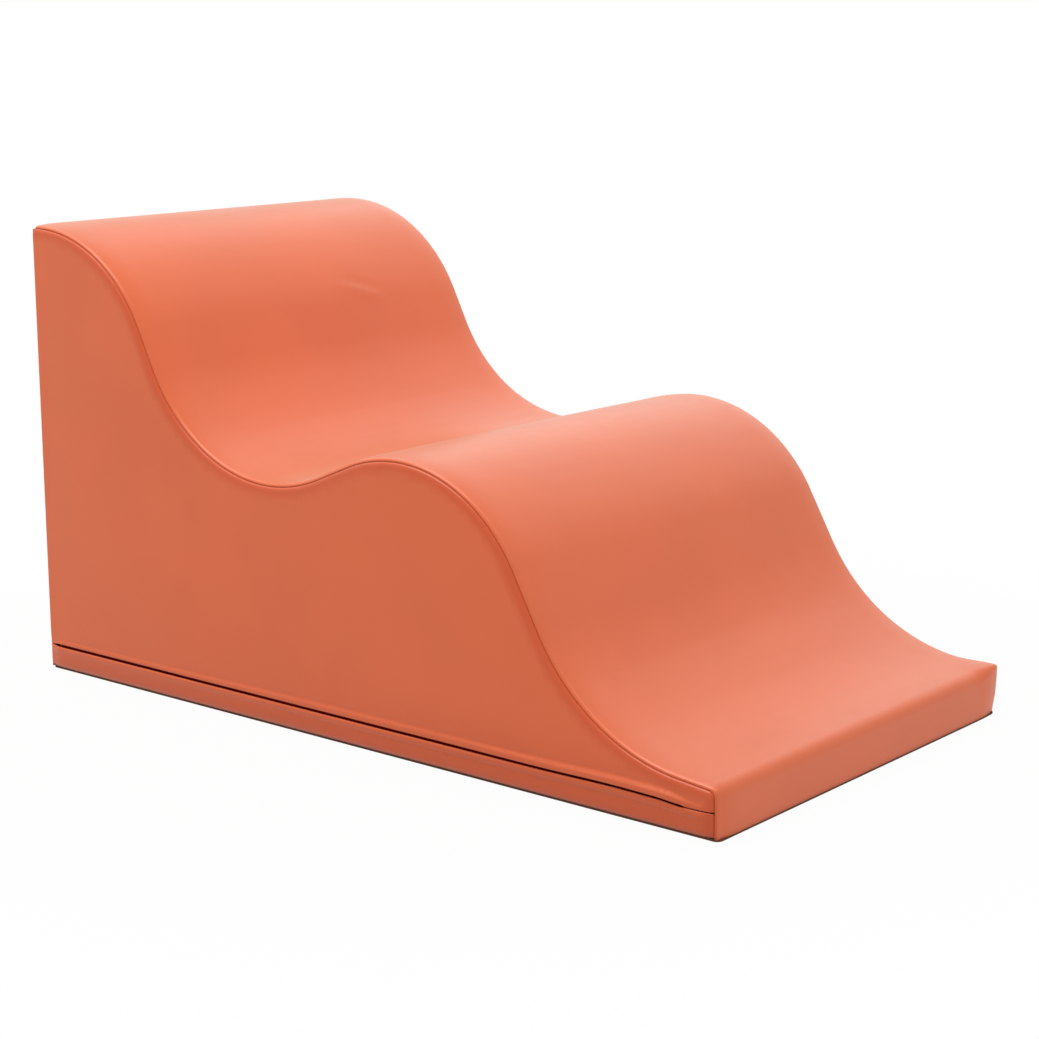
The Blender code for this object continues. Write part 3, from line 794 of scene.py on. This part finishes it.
def strip_rows():
    """Half of the strip's cross-section, from its hidden edge to the middle.

    Each row is (inwards, down, turn, distance): where it lies from the upper edge's corner, the angle of its
    outward normal from level to upright, and its distance from the seam.
    """
    cover = chosen("cover")
    roll, start = cover.seam_roll, cover.lip_depth
    walk = [(0.0, 0.0, SEAM_ANGLE)]
    for stretch, angle in LIP_BENDS:
        steps = max(3, round(stretch / LIP_STEP))
        before = walk[-1][2]
        for i in range(1, steps + 1):
            inwards, risen, turn = walk[-1]
            now = before + (angle - before) * i / steps
            middle = radians((now + turn) / 2)
            level, upright = sin(middle) * stretch / steps, cos(middle) * stretch / steps
            walk.append((inwards + level, risen + upright, now))
    scale = (SEAM_DROP - roll) / walk[-1][1]
    rows = [(start + roll + HIDDEN_WIDTH, SEAM_DROP + 0.0002, -90.0, -0.003)]
    for angle in (-90, -68, -45, -22, 0):
        a = radians(angle)
        rows.append((start + roll * (1 - cos(a)), SEAM_DROP - roll - roll * sin(a), angle, roll * a))
    distance = 0.0
    for (before, low, _), (inwards, risen, angle) in zip(walk, walk[1:]):
        distance += hypot(inwards - before, risen - low) * scale
        rows.append((start + inwards * scale, (walk[-1][1] - risen) * scale, angle, distance))
    wide = rows[-1][0]
    for extra in EDGE_ROWS:
        rows.append((wide + extra, 0.0, 90.0, distance + extra))
    gap = (SIDE_Y - wide - EDGE_ROWS[-1]) / MIDDLE_ROWS
    for i in range(1, MIDDLE_ROWS + 1):
        rows.append((wide + EDGE_ROWS[-1] + gap * i, 0.0, 90.0, distance + EDGE_ROWS[-1] + gap * i))
    return rows


def strip_swell(points):
    """Swell of the top strip, from a coarse copy of it."""
    path = points[::STRIP_SKIP]
    across = [SIDE_Y * (-1 + 2 * i / STRIP_COLUMNS) for i in range(STRIP_COLUMNS + 1)]
    places = [Vector((p.x, y, p.y)) for p in path for y in across]
    count = len(across)
    faces = grid_faces(len(path), count, turned=True)
    held = [i for i in range(len(places))
            if i % count in (0, count - 1) or i < count or i >= len(places) - count]
    return Swell("strip_cloth", places, faces, held, chosen("cover").top_crown)


def strip_stations(count):
    """Rows along the strip as (index, inset, travel), with its rear edge and its foot turned in."""
    roll = chosen("cover").seam_roll
    edge = [(roll + 0.0015, -roll)]
    edge += [(roll * (1 - cos(radians(a))), -roll * sin(radians(a))) for a in (90, 60, 30)]
    rear = [(0, inset, along) for inset, along in edge]
    path = [(i, 0.0, 0.0) for i in range(count)]
    return rear + path + [(count - 1, inset, -along) for inset, along in reversed(edge)]


def strip_cloth():
    """Points, faces and layers of the top strip."""
    paths = NosePaths(WAVE_STEP)
    swell = strip_swell(paths.points)
    half = strip_rows()
    profile = [(-SIDE_Y, 1, *row) for row in half] + [(SIDE_Y, -1, *row) for row in reversed(half[:-1])]
    walked = [0.0]
    for a, b in zip(paths.points, paths.points[1:]):
        walked.append(walked[-1] + (b - a).length)
    start = chosen("cover").lip_depth
    stations = strip_stations(len(paths.points))
    places, seam, lip = [], [], []
    for index, inset, travel in stations:
        end = min(walked[index], walked[-1] - walked[index])
        nose = smooth((walked[index] - walked[-1] + 0.070) / 0.030)
        low = smooth((walked[index] - walked[-1] + 0.014) / 0.014)
        wider = WIDER_AT_NOSE * nose + WIDER_AT_FOOT * low
        for side_y, inwards_way, inwards, down, turn, distance in profile:
            spread = wider * smooth((inwards - start) / 0.004)
            spread *= 1 - smooth((inwards - start - 0.006) / 0.05)
            y = side_y + inwards_way * (inwards + spread)
            p, n = paths.at(index, y)
            ahead = Vector((n.y, -n.x))
            level = -inwards_way * cos(radians(turn))
            upright = sin(radians(turn))
            height = -inset
            if distance > 0:
                place = Vector((p.x, y, p.y))
                inner = smooth((distance - 0.002) / 0.03)
                height += swell.at(place) * smooth(distance / 0.01)
                height += dent_height(place, STRIP_SEED) * inner * smooth(end / 0.03)
                height += pucker_height(walked[index], distance, inwards_way * 5.0)
                if p.x < SLOPE_END and n.x > 0:
                    height += crease_height(p.x, y)
            spot = p + n * (height * upright - down) + ahead * travel
            places.append(slack_corner((spot.x, y + height * level, spot.y)))
            seam.append(min(distance, end + 0.0015 - inset))
            lip.append(lip_highlight_share(distance))
    faces = grid_faces(len(stations), len(profile), turned=True)
    return places, faces, {"seam": seam, "lip": lip}


def rim(kind, roll):
    """Rows of a panel's rim as (inset, depth): hidden edge, rolled edge, then the face."""
    if kind == "pinch":
        start = roll * PINCH_CENTRE
        rows = [(roll * 2.7, roll * 2.7)]
        for angle in (135, 180, 210, 240, 270):
            a = radians(angle)
            rows.append((roll * (PINCH_CENTRE + cos(a)), roll * (1 + sin(a))))
    else:
        start = roll
        rows = [(roll * 0.4, HIDDEN_DEPTHS.get(kind, roll * 2.6))]
        for angle in (0, 22.5, 45, 67.5, 90):
            a = radians(angle)
            rows.append((roll * (1 - cos(a)), roll * (1 - sin(a))))
    return rows + [(start + extra, 0.0) for extra in RIM_ROWS]


def cover_rims():
    """The rim of each kind of edge."""
    roll = chosen("cover").seam_roll
    rolls = {"wave": roll, "top": roll, "pinch": PINCH_ROLL, "hem": HEM_ROLL, "foot": HEM_ROLL}
    return {kind: rim(kind, size) for kind, size in rolls.items()}


class Outline:
    """A panel's outline, anticlockwise seen from outside, with the kind of the edge after each point."""

    def __init__(self):
        self.points = []
        self.kinds = []

    def add(self, points, kind):
        self.points += points
        self.kinds += [kind] * len(points)

    def tree(self, *kinds):
        """A search tree of the points on some kinds of edge, or of one far point if there are none."""
        found = [(i, p) for i, p in enumerate(self.points) if self.kinds[i] in kinds]
        return nearest(found or [(0, Vector((9, 9)))])


def filled(outline, spacing, fine_below=-1.0):
    """Triangles inside an outline, with added points on a grid. The outline's points come first.

    Below the height fine_below the grid is finer, for the folds beside the zip.
    """
    tree = nearest(list(enumerate(outline)))
    xs, ys = [p[0] for p in outline], [p[1] for p in outline]
    extra = []

    def add_rows(low, high, up, along):
        for r in range(1, int((high - low) / up) + 1):
            y = low + r * up
            crossings = []
            for a, b in zip(outline, outline[1:] + outline[:1]):
                if (a[1] > y) != (b[1] > y):
                    crossings.append((b[0] - a[0]) * (y - a[1]) / (b[1] - a[1]) + a[0])
            for c in range(int((max(xs) - min(xs)) / along) + 1):
                x = min(xs) + (c + 0.5 * (r % 2)) * along
                if sum(x > crossing for crossing in crossings) % 2 and tree.find((x, y, 0))[2] > up * 0.6:
                    extra.append((x, y))

    middle = min(max(fine_below, min(ys)), max(ys))
    add_rows(min(ys), middle, FOLD_STEP, 2 * FOLD_STEP)
    add_rows(middle, max(ys), spacing, spacing)
    count = len(outline)
    flat = [Vector(p) for p in outline] + [Vector(p) for p in extra]
    edges = [(i, (i + 1) % count) for i in range(count)]
    _, _, faces, origins, _, _ = delaunay_2d_cdt(flat, edges, [], 1, 1e-7)
    order = [origin[0] if origin else -1 for origin in origins]
    if -1 in order or len(set(order)) != len(order):
        raise RuntimeError("the outline of a panel crosses itself")
    return [tuple(p) for p in flat], [tuple(order[i] for i in face) for face in faces]


def mitred(outline, rims, row):
    """The outline moved inwards by each edge's own inset for one row of the rim, with depths.

    Points beside a sharp corner are drawn along their edge, so that the moved outline doesn't cross itself.
    """
    points, kinds = outline.points, outline.kinds
    count = len(points)
    ways = [(points[(i + 1) % count] - points[i]).normalized() for i in range(count)]
    moved, corners = [], []
    for i in range(count):
        n1, n2 = left_of(ways[i - 1]), left_of(ways[i])
        (a, d1), (b, d2) = rims[kinds[i - 1]][row], rims[kinds[i]][row]
        cross = n1.x * n2.y - n1.y * n2.x
        if abs(cross) < SHARP_CORNER:
            shift = (n1 + n2).normalized() * ((a + b) / 2)
        else:
            shift = Vector(((a * n2.y - b * n1.y) / cross, (b * n1.x - a * n2.x) / cross))
            corners.append((i, shift))
        moved.append([points[i] + shift, max(d1, d2)])
    for i, shift in corners:
        for step, pull in ((1, shift.dot(ways[i])), (-1, shift.dot(ways[i - 1]))):
            walked, j = 0.0, i
            while True:
                way = ways[j] if step > 0 else ways[j - 1]
                walked += (points[(j + step) % count] - points[j]).length
                j = (j + step) % count
                if walked >= CORNER_REACH:
                    break
                moved[j][0] += way * pull * (1 - walked / CORNER_REACH)
    return moved


def panel_swell(name, outline, place, turned, crown):
    """Swell of a panel, from a coarse copy of it."""
    held = [tuple(p) for p in outline.points[::OUTLINE_SKIP]]
    flat, faces = filled(held, SIM_STEP)
    points = [Vector(place(u, v, 0.0)) for u, v in flat]
    if turned:
        faces = [face[::-1] for face in faces]
    return Swell(name + "_cloth", points, faces, list(range(len(held))), crown)


def panel(name, outline, rims, place, relief, swollen=True, turned=False, fine_below=-1.0, slot="vinyl"):
    """A cloth panel: rolled rims along its outline and a face inside them.

    place turns (across, up, height) into a point, and relief gives the height of the face.
    """
    count = len(outline.points)
    rows = len(next(iter(rims.values())))
    loops = [mitred(outline, rims, row) for row in range(rows)]
    face_points, faces_inside = filled([tuple(p) for p, _ in loops[-1]], PANEL_STEP, fine_below)
    swell = panel_swell(name, outline, place, turned, chosen("cover").crown) if swollen else None
    edge = outline.tree(*rims)
    sewn = outline.tree("wave", "top", "pinch")
    wave = outline.tree("wave")
    points, seam, drawn, lip = [], [], [], []

    def add(u, v, depth):
        _, index, distance = edge.find((u, v, 0))
        from_wave = wave.find((u, v, 0))[2]
        height = relief(u, v, sewn.find((u, v, 0))[2]) - depth - lip_inset(from_wave)
        if swell:
            spot = Vector(place(u, v, 0.0))
            height += swell.at(spot) * smooth(distance / 0.008)
            height += dent_height(spot, PANEL_SEED) * smooth(distance / 0.04)
            height += pucker_height(index * RIM_STEP, distance, 2.0)
        points.append(slack_corner(place(u, v, height)))
        seam.append(distance - depth)
        # Painted shade beside the wave seams: 1 within 4 mm of a wave seam, fading out over the next 13 mm.
        drawn.append(1 - smooth((from_wave - 0.004) / 0.013))
        lip.append(lip_highlight_share(from_wave))

    for loop in loops:
        for p, depth in loop:
            add(p.x, p.y, depth)
    for u, v in face_points[count:]:
        add(u, v, 0.0)
    first = (rows - 1) * count
    faces = grid_faces(rows, count, loop=True)
    faces += [tuple(first + i for i in face) for face in faces_inside]
    if turned:
        faces = [face[::-1] for face in faces]
    make_piece(name, "cover_" + name, slot, points, faces, {"seam": seam, "drawn": drawn, "lip": lip})


def on_near_side(u, v, height):
    return u, -SIDE_Y - height, v


def slit_closing(x):
    """How far each lip of the slit comes in where the slit closes at its ends."""
    rear = (SLIT_HEIGHT / 2 - 0.0003) * (1 - smooth((x - REAR_X - SHUT_AT_REAR) / 0.020))
    nose = (SLIT_HEIGHT / 2 - 0.0005) * (1 - smooth((SEAM_X - x - SHUT_AT_NOSE) / 0.010))
    return max(rear, nose)


def slit_middle(x):
    """Height of the slit, which rises a little before the nose and sags next to it."""
    return ZIP_HEIGHT + SLIT_RISE * hill(x, 0.415, 0.065) - SLIT_SAG * smooth((x - 0.470) / 0.050)


def hem_line(x):
    """Height of the slit's upper lip."""
    return slit_middle(x) + SLIT_HEIGHT / 2 - slit_closing(x)


def band_line(x):
    """Height of the slit's lower lip."""
    return slit_middle(x) - SLIT_HEIGHT / 2 + slit_closing(x)


def side_outline(lowest, low_kind, y):
    """Outline of a side panel from its rear bottom corner."""
    paths = NosePaths(RIM_STEP)
    sides = [paths.at(i, y) for i in range(len(paths.points))]
    seam = [p - n * SEAM_INSET for p, n in sides]
    seam = [p for p in seam if p.x > REAR_X + SEAM_INSET + 0.001 and p.y > lowest(SEAM_X) + 0.002]
    if nose_point(y) > 0.5:
        slope = [p for p in seam if p.x < SEAM_X - 0.004]
        fall = (slope[-1].y - slope[-2].y) / (slope[-1].x - slope[-2].x)
        tip = Vector((SEAM_X, slope[-1].y + fall * (SEAM_X - slope[-1].x)))
        seam = [*slope, tip, *[p for p in seam if p.x > SEAM_X - 0.0001 and p.y < tip.y - 0.004]]
    corner = Vector((REAR_X, REAR_HEIGHT - SEAM_INSET))
    foot = [Vector((x, lowest(x))) for x in spaced_along(REAR_X, SEAM_X, RIM_STEP)]
    top = spaced(Vector((seam[0].x - TOP_STEP, corner.y)), corner, TOP_STEP)
    outline = Outline()
    outline.add(foot, low_kind)
    outline.add([Vector((SEAM_X, lowest(SEAM_X))), *reversed(seam), *top], "wave")
    outline.add(spaced(corner, Vector((REAR_X, lowest(REAR_X))), RIM_STEP), "pinch")
    return outline


def hem_relief(u, v, distance):
    """The hem over the zip: a rolled fold that grows towards the nose, with a shallow crease over it."""
    above = v - slit_middle(u) - SLIT_HEIGHT / 2
    along = (u - REAR_X) / LENGTH
    nose = smooth((SEAM_X - u - 0.020) / 0.035)
    tall = (0.0064 + 0.0030 * smooth(along / 0.6) + 0.0014 * along) * (0.55 + 0.45 * nose)
    low = (0.42 + 0.10 * along) * tall
    grown = 0.28 + 0.22 * smooth(along / 0.5) + 0.50 * smooth((along - 0.6) / 0.35)
    proud = chosen("cover").hem_proud * grown
    ends = smooth((u - REAR_X) / 0.030) * (0.30 + 0.70 * nose) * smooth((SEAM_X - u - 0.002) / 0.015)
    fold = 1 - smooth((above - low) / (tall - low))
    crease = (0.0003 + 0.0005 * along) * hill(above, tall * 1.12, 0.0022)
    uneven = 1 + 0.20 * noise.noise(Vector((u / 0.12, 4.2, 0.0)))
    flank = flank_height(distance) * smooth((above - 0.004) / 0.012)
    return flank + (proud * fold * uneven - crease) * ends


def plain_relief(u, v, distance):
    return flank_height(distance) * smooth((v - COVER_BOTTOM) / 0.012)


def band_relief(u, v, distance):
    """The band under the slit: a rolled upper lip over a small crease, and a lower edge that turns under."""
    top = slit_middle(u) - SLIT_HEIGHT / 2
    below = top - v
    ends = smooth((u - REAR_X) / 0.02) * smooth((SEAM_X - u) / 0.02)
    under = 0.0012 * below / (top - COVER_BOTTOM) + FOOT_TURN * smooth((0.0120 - v) / 0.0110) ** 1.6
    roll = 0.0010 * hill(below, 0.0040, 0.0032)
    crease = 0.0007 * hill(below, 0.0092, 0.0018) * smooth((u + 0.30) / 0.3)
    return (0.0016 + roll - crease) * ends - under


def swept_tube(route, radius, sides):
    """Points and faces of a round tube along a route, closed at its ends."""
    points = []
    count = len(route)
    across = None
    for i, p in enumerate(route):
        ahead = (route[min(i + 1, count - 1)] - route[max(i - 1, 0)]).normalized()
        across = ahead.orthogonal() if across is None else across - ahead * across.dot(ahead)
        across.normalize()
        up = ahead.cross(across)
        for k in range(sides):
            a = 2 * pi * k / sides
            points.append(p + (across * cos(a) + up * sin(a)) * radius)
    faces = grid_faces(count, sides, loop=True)
    faces.append(tuple(reversed(range(sides))))
    faces.append(tuple(range((count - 1) * sides, count * sides)))
    return points, faces


# Operators


class CLIMBER_OT_materials(bpy.types.Operator):
    """Makes the finishes that the pieces share"""

    bl_idname = "climber.materials"
    bl_label = "Finishes"

    def execute(self, context):
        vinyl_material()
        base_cloth_material()
        foam_material("firm_foam_cells", "firm_foam", 900.0)
        foam_material("soft_foam_cells", "soft_foam", 1100.0)
        tape_material()
        coil_material()
        thread_material()
        slider_material()
        return {"FINISHED"}


class CLIMBER_OT_top_strip(bpy.types.Operator):
    """Makes the strip of vinyl over the wave, round the nose and down its front"""

    bl_idname = "climber.top_strip"
    bl_label = "Top strip"

    def execute(self, context):
        make_piece("top_strip", "cover_top_strip", "vinyl", *strip_cloth())
        return {"FINISHED"}


class CLIMBER_OT_side_panels(bpy.types.Operator):
    """Makes the two wavy side panels, the near one with its hem over the zip"""

    bl_idname = "climber.side_panels"
    bl_label = "Side panels"

    def execute(self, context):
        rims = cover_rims()
        near = side_outline(hem_line, "hem", -SIDE_Y)
        panel("side_near", near, rims, on_near_side, hem_relief, fine_below=hem_line(0.0) + FOLD_REACH)
        far = side_outline(lambda x: COVER_BOTTOM, "foot", SIDE_Y)
        panel("side_far", far, rims, lambda u, v, h: (u, SIDE_Y + h, v), plain_relief, turned=True)
        return {"FINISHED"}


class CLIMBER_OT_back_panel(bpy.types.Operator):
    """Makes the upright back panel"""

    bl_idname = "climber.back_panel"
    bl_label = "Back panel"

    def execute(self, context):
        low, high = COVER_BOTTOM, REAR_HEIGHT - SEAM_INSET - BACK_DROP
        places = ((-SIDE_Y, low), (SIDE_Y, low), (SIDE_Y, high), (-SIDE_Y, high))
        corners = [Vector(p) for p in places]
        outline = Outline()
        for start, end, kind in zip(corners, corners[1:] + corners[:1], ("foot", "pinch", "top", "pinch")):
            outline.add(spaced(start, end, RIM_STEP), kind)
        panel("back_panel", outline, cover_rims(), lambda u, v, h: (REAR_X - h, -u, v), plain_relief)
        return {"FINISHED"}


class CLIMBER_OT_band(bpy.types.Operator):
    """Makes the narrow band of the near side under the zip"""

    bl_idname = "climber.band"
    bl_label = "Band under the zip"

    def execute(self, context):
        low_rear, low_nose = Vector((REAR_X, COVER_BOTTOM)), Vector((SEAM_X, COVER_BOTTOM))
        upper = [Vector((x, band_line(x))) for x in spaced_along(SEAM_X, REAR_X, RIM_STEP)]
        outline = Outline()
        outline.add(spaced(low_rear, low_nose, RIM_STEP), "foot")
        outline.add(spaced(low_nose, Vector((SEAM_X, band_line(SEAM_X))), RIM_STEP), "wave")
        outline.add(upper, "hem")
        outline.add(spaced(Vector((REAR_X, band_line(REAR_X))), low_rear, RIM_STEP), "pinch")
        panel("band_near", outline, cover_rims(), on_near_side, band_relief, False, fine_below=ZIP_HEIGHT)
        return {"FINISHED"}


class CLIMBER_OT_base_panel(bpy.types.Operator):
    """Makes the dark non-slip underside, turned up a little all round"""

    bl_idname = "climber.base_panel"
    bl_label = "Underside"

    def execute(self, context):
        near, far = SIDE_Y - FOOT_TURN, FAR_FOOT - SIDE_Y
        corners = [Vector(p) for p in ((REAR_X, far), (NOSE_X, far), (NOSE_X, near), (REAR_X, near))]
        radii = (BASE_REAR_RADIUS, BASE_NOSE_RADIUS, BASE_NOSE_RADIUS, BASE_REAR_RADIUS)
        outline = Outline()
        for i, (corner, radius) in enumerate(zip(corners, radii)):
            after = corners[(i + 1) % 4]
            arriving, leaving = (corner - corners[i - 1]).normalized(), (after - corner).normalized()
            centre = corner - arriving * radius + leaving * radius
            angles = [radians(angle) for angle in (0, 22.5, 45, 67.5, 90)]
            bend = [centre + Matrix.Rotation(a, 2) @ (-leaving * radius) for a in angles]
            straight = spaced(bend[-1], after - leaving * radii[(i + 1) % 4], BASE_STEP)[1:]
            outline.add(bend + straight, "edge")
        panel("base_panel", outline, {"edge": BASE_RIM}, lambda u, v, h: (u, -v, -h), lambda u, v, d: 0.0,
              False, slot="base_cloth")
        return {"FINISHED"}


class CLIMBER_OT_foam_blocks(bpy.types.Operator):
    """Makes the slab, the wave core and the top layer of foam"""

    bl_idname = "climber.foam_blocks"
    bl_label = "Foam blocks"

    def execute(self, context):
        blocks = (
            ("base_slab", "foam_base_slab", "firm_foam"),
            ("wave_core", "foam_wave_core", "firm_foam"),
            ("soft_layer", "foam_top_layer", "soft_foam"),
        )
        for name, node, slot in blocks:
            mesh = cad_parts[node].data.copy()
            mesh.name = name
            for vertex in mesh.vertices:
                vertex.co.y = copysign(min(abs(vertex.co.y), SIDE_Y - FOAM_INSET), vertex.co.y)
            mesh.materials.clear()
            mesh.materials.append(bpy.data.materials[FINISHES[slot]])
            block = bpy.data.objects.new(name, mesh)
            context.scene.collection.objects.link(block)
            dress(block, node)
        return {"FINISHED"}


class CLIMBER_OT_zip_tapes(bpy.types.Operator):
    """Makes the two woven tapes of the zip"""

    bl_idname = "climber.zip_tapes"
    bl_label = "Zip tapes"

    def execute(self, context):
        route = (
            (CHAIN_GAP / 2 + 0.0002, TAPE_DEPTH), (0.003, TAPE_DEPTH), (0.006, TAPE_DEPTH),
            (0.009, TAPE_DEPTH), (0.010, TAPE_DEPTH - 0.0003), (0.011, TAPE_EDGE_DEPTH + 0.0004),
            (0.012, TAPE_EDGE_DEPTH + 0.0001), (0.015, TAPE_EDGE_DEPTH), (TAPE_WIDTH, TAPE_EDGE_DEPTH),
        )
        count = 2 * len(route)
        xs = spaced_along(ZIP_REAR_X, ZIP_NOSE_X, TAPE_STEP) + [ZIP_NOSE_X]
        for name, side in (("tape_upper", 1), ("tape_lower", -1)):
            points = []
            for x in xs:
                ruffle = TAPE_RUFFLE * noise.noise(Vector((x / 0.02, side, 0)))
                front = []
                for up, depth in route:
                    front.append((x, -SIDE_Y + depth + ruffle * (up < 0.009), ZIP_HEIGHT + side * up))
                points += front + [(x, y + TAPE_THICKNESS * 0.8, z) for _, y, z in reversed(front)]
            faces = grid_faces(len(xs), count, loop=True, turned=side > 0)
            ends = [tuple(range(count)), tuple(range(count * (len(xs) - 1), count * len(xs)))]
            faces += [ends[0][::side], ends[1][::-side]]
            make_piece(name, "zip_" + name, "zip_tape", points, faces, smooth_faces=False)
        return {"FINISHED"}


class CLIMBER_OT_zip_coils(bpy.types.Operator):
    """Winds the two rows of nylon coil"""

    bl_idname = "climber.zip_coils"
    bl_label = "Zip coils"

    def execute(self, context):
        settings = chosen("zip")
        thick = settings.filament / 2
        middle = COIL_TOP_DEPTH + COIL_DEPTH / 2
        centre = CHAIN_GAP / 2 + COIL_WIDTH / 2
        start, end = ZIP_REAR_X + COIL_MARGIN, ZIP_NOSE_X - COIL_MARGIN
        steps = round((end - start) / settings.coil_pitch) * COIL_STEPS
        for name, side in (("coil_upper", 1), ("coil_lower", -1)):
            route = []
            for i in range(steps + 1):
                a = 2 * pi * i / COIL_STEPS + (pi if side < 0 else 0)
                across = (COIL_WIDTH / 2 - thick) * cos(a)
                deep = (COIL_DEPTH / 2 - thick) * sin(a)
                x = start + (end - start) * i / steps
                route.append(Vector((x, -SIDE_Y + middle + deep, ZIP_HEIGHT + side * (centre + across))))
            make_piece(name, "zip_" + name, "zip_coil", *swept_tube(route, thick, COIL_SIDES))
        return {"FINISHED"}


class CLIMBER_OT_zip_tacks(bpy.types.Operator):
    """Sews the bars of thread that close the two ends of the zip"""

    bl_idname = "climber.zip_tacks"
    bl_label = "Zip tacks"

    def execute(self, context):
        settings = chosen("zip")
        turns = settings.tack_turns
        for name, x in (("tack_rear", ZIP_REAR_X + TACK_INSET), ("tack_nose", ZIP_NOSE_X - TACK_INSET)):
            route = []
            for i in range(turns + 1):
                z = ZIP_HEIGHT + TACK_REACH * (1 if i % 2 else -1)
                route.append(Vector((x + (i / turns - 0.5) * TACK_WIDTH, -SIDE_Y + TACK_DEPTH, z)))
            fine = []
            for a, b in zip(route, route[1:]):
                for k in range(STITCH_STEPS):
                    spot = a.lerp(b, k / STITCH_STEPS)
                    spot.y -= TACK_BOW * sin(pi * (k / STITCH_STEPS))
                    fine.append(spot)
            fine.append(route[-1])
            tube = swept_tube(fine, settings.thread_width / 2, THREAD_SIDES)
            make_piece(name, "zip_" + name, "thread", *tube)
        return {"FINISHED"}


class CLIMBER_OT_zip_slider(bpy.types.Operator):
    """Gives the zip slider its nickel plate"""

    bl_idname = "climber.zip_slider"
    bl_label = "Zip slider"

    def execute(self, context):
        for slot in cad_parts["zip_slider"].material_slots:
            slot.material = bpy.data.materials["nickel_plate"]
        return {"FINISHED"}


class CLIMBER_OT_stage(bpy.types.Operator):
    """Sets up the floor, the soft studio light and the camera"""

    bl_idname = "climber.stage"
    bl_label = "Stage"

    def execute(self, context):
        scene = context.scene
        scene.view_settings.view_transform = "Standard"
        self.floor()
        self.light(scene)
        self.camera(scene)
        return {"FINISHED"}

    def floor(self):
        m = Finish("pale_floor")
        away = m.node("ShaderNodeVectorMath", {"operation": "LENGTH"}, {0: m.place()}, "Value")
        plain = m.node("ShaderNodeBsdfDiffuse", None, {"Color": (FLOOR_GREY, FLOOR_GREY, FLOOR_GREY, 1.0)})
        white = m.node("ShaderNodeEmission", None, {"Color": (1, 1, 1, 1), "Strength": 1.0})
        share = m.seen() * (FLOOR_SEEN + away.ramp(*FLOOR_FADE) * (1 - FLOOR_SEEN))
        both = m.node("ShaderNodeMixShader", None, {0: share, 1: plain, 2: white})
        m.node("ShaderNodeOutputMaterial", None, {"Surface": both})
        corners = [(FLOOR_REACH * x, FLOOR_REACH * y, 0) for x, y in ((-1, -1), (1, -1), (1, 1), (-1, 1))]
        floor = make_object("floor", corners, [(0, 1, 2, 3)], "pale_floor")
        floor.location.z = -FLOOR_DROP

    def light(self, scene):
        settings = chosen("stage")
        for name, setting, place, wide, tall in LAMPS:
            lamp = bpy.data.lights.new(name, "AREA")
            lamp.shape = "RECTANGLE"
            lamp.size, lamp.size_y = wide, tall
            lamp.energy = getattr(settings, setting)
            box = bpy.data.objects.new(name, lamp)
            box.location = place
            box.rotation_euler = (LAMP_AIM - box.location).to_track_quat("-Z", "Y").to_euler()
            scene.collection.objects.link(box)
        world = bpy.data.worlds.new("white_studio")
        scene.world = world
        m = Finish("white_studio", world)
        strength = settings.ambient + m.seen() * (1 - settings.ambient)
        sky = m.node("ShaderNodeBackground", None, {"Color": (1, 1, 1, 1), "Strength": strength})
        m.node("ShaderNodeOutputWorld", None, {"Surface": sky})

    def camera(self, scene):
        settings = chosen("stage")
        azimuth, elevation, roll = settings.azimuth, settings.elevation, settings.roll
        flat = cos(elevation)
        back = Vector((sin(azimuth) * flat, -cos(azimuth) * flat, sin(elevation)))
        across = (-back).cross(Vector((0, 0, 1))).normalized()
        down = (-back).cross(across)
        right = across * cos(roll) + down * sin(roll)
        up = across * sin(roll) - down * cos(roll)
        lens = bpy.data.cameras.new("photo_camera")
        lens.sensor_width = SENSOR_WIDTH
        lens.lens = settings.lens
        lens.shift_y = LENS_SHIFT
        lens.clip_start, lens.clip_end = CLIP_DISTANCES
        camera = bpy.data.objects.new("photo_camera", lens)
        turned = Matrix((right, up, back)).transposed().to_4x4()
        turned.translation = CAMERA_PLACE
        camera.matrix_world = turned
        scene.collection.objects.link(camera)
        scene.camera = camera


STEPS = (
    CLIMBER_OT_materials,
    CLIMBER_OT_top_strip,
    CLIMBER_OT_side_panels,
    CLIMBER_OT_back_panel,
    CLIMBER_OT_band,
    CLIMBER_OT_base_panel,
    CLIMBER_OT_foam_blocks,
    CLIMBER_OT_zip_tapes,
    CLIMBER_OT_zip_coils,
    CLIMBER_OT_zip_tacks,
    CLIMBER_OT_zip_slider,
    CLIMBER_OT_stage,
)
GROUPS = (
    (CoverSettings, "climber_cover", "Cover"),
    (FinishSettings, "climber_finish", "Finishes"),
    (ZipSettings, "climber_zip", "Zip"),
    (StageSettings, "climber_stage", "Stage"),
)


class CLIMBER_PT_panel(bpy.types.Panel):
    """Sizes, colours and steps of the climber"""

    bl_label = "Soft Play Climber"
    bl_idname = "CLIMBER_PT_panel"
    bl_space_type = "VIEW_3D"
    bl_region_type = "UI"
    bl_category = "Climber"

    def draw(self, context):
        for group, attribute, title in GROUPS:
            box = self.layout.box()
            box.label(text=title)
            for name in group.__annotations__:
                box.prop(getattr(context.scene, attribute), name)
        steps = self.layout.column(align=True)
        for step in STEPS:
            steps.operator(step.bl_idname)


def register():
    for group, attribute, _ in GROUPS:
        bpy.utils.register_class(group)
        setattr(bpy.types.Scene, attribute, PointerProperty(type=group))
    for step in STEPS:
        bpy.utils.register_class(step)
    bpy.utils.register_class(CLIMBER_PT_panel)


def unregister():
    bpy.utils.unregister_class(CLIMBER_PT_panel)
    for step in reversed(STEPS):
        bpy.utils.unregister_class(step)
    for group, attribute, _ in reversed(GROUPS):
        delattr(bpy.types.Scene, attribute)
        bpy.utils.unregister_class(group)


def main():
    register()
    for step in STEPS:
        group, name = step.bl_idname.split(".")
        getattr(getattr(bpy.ops, group), name)()


if __name__ == "__main__":
    main()
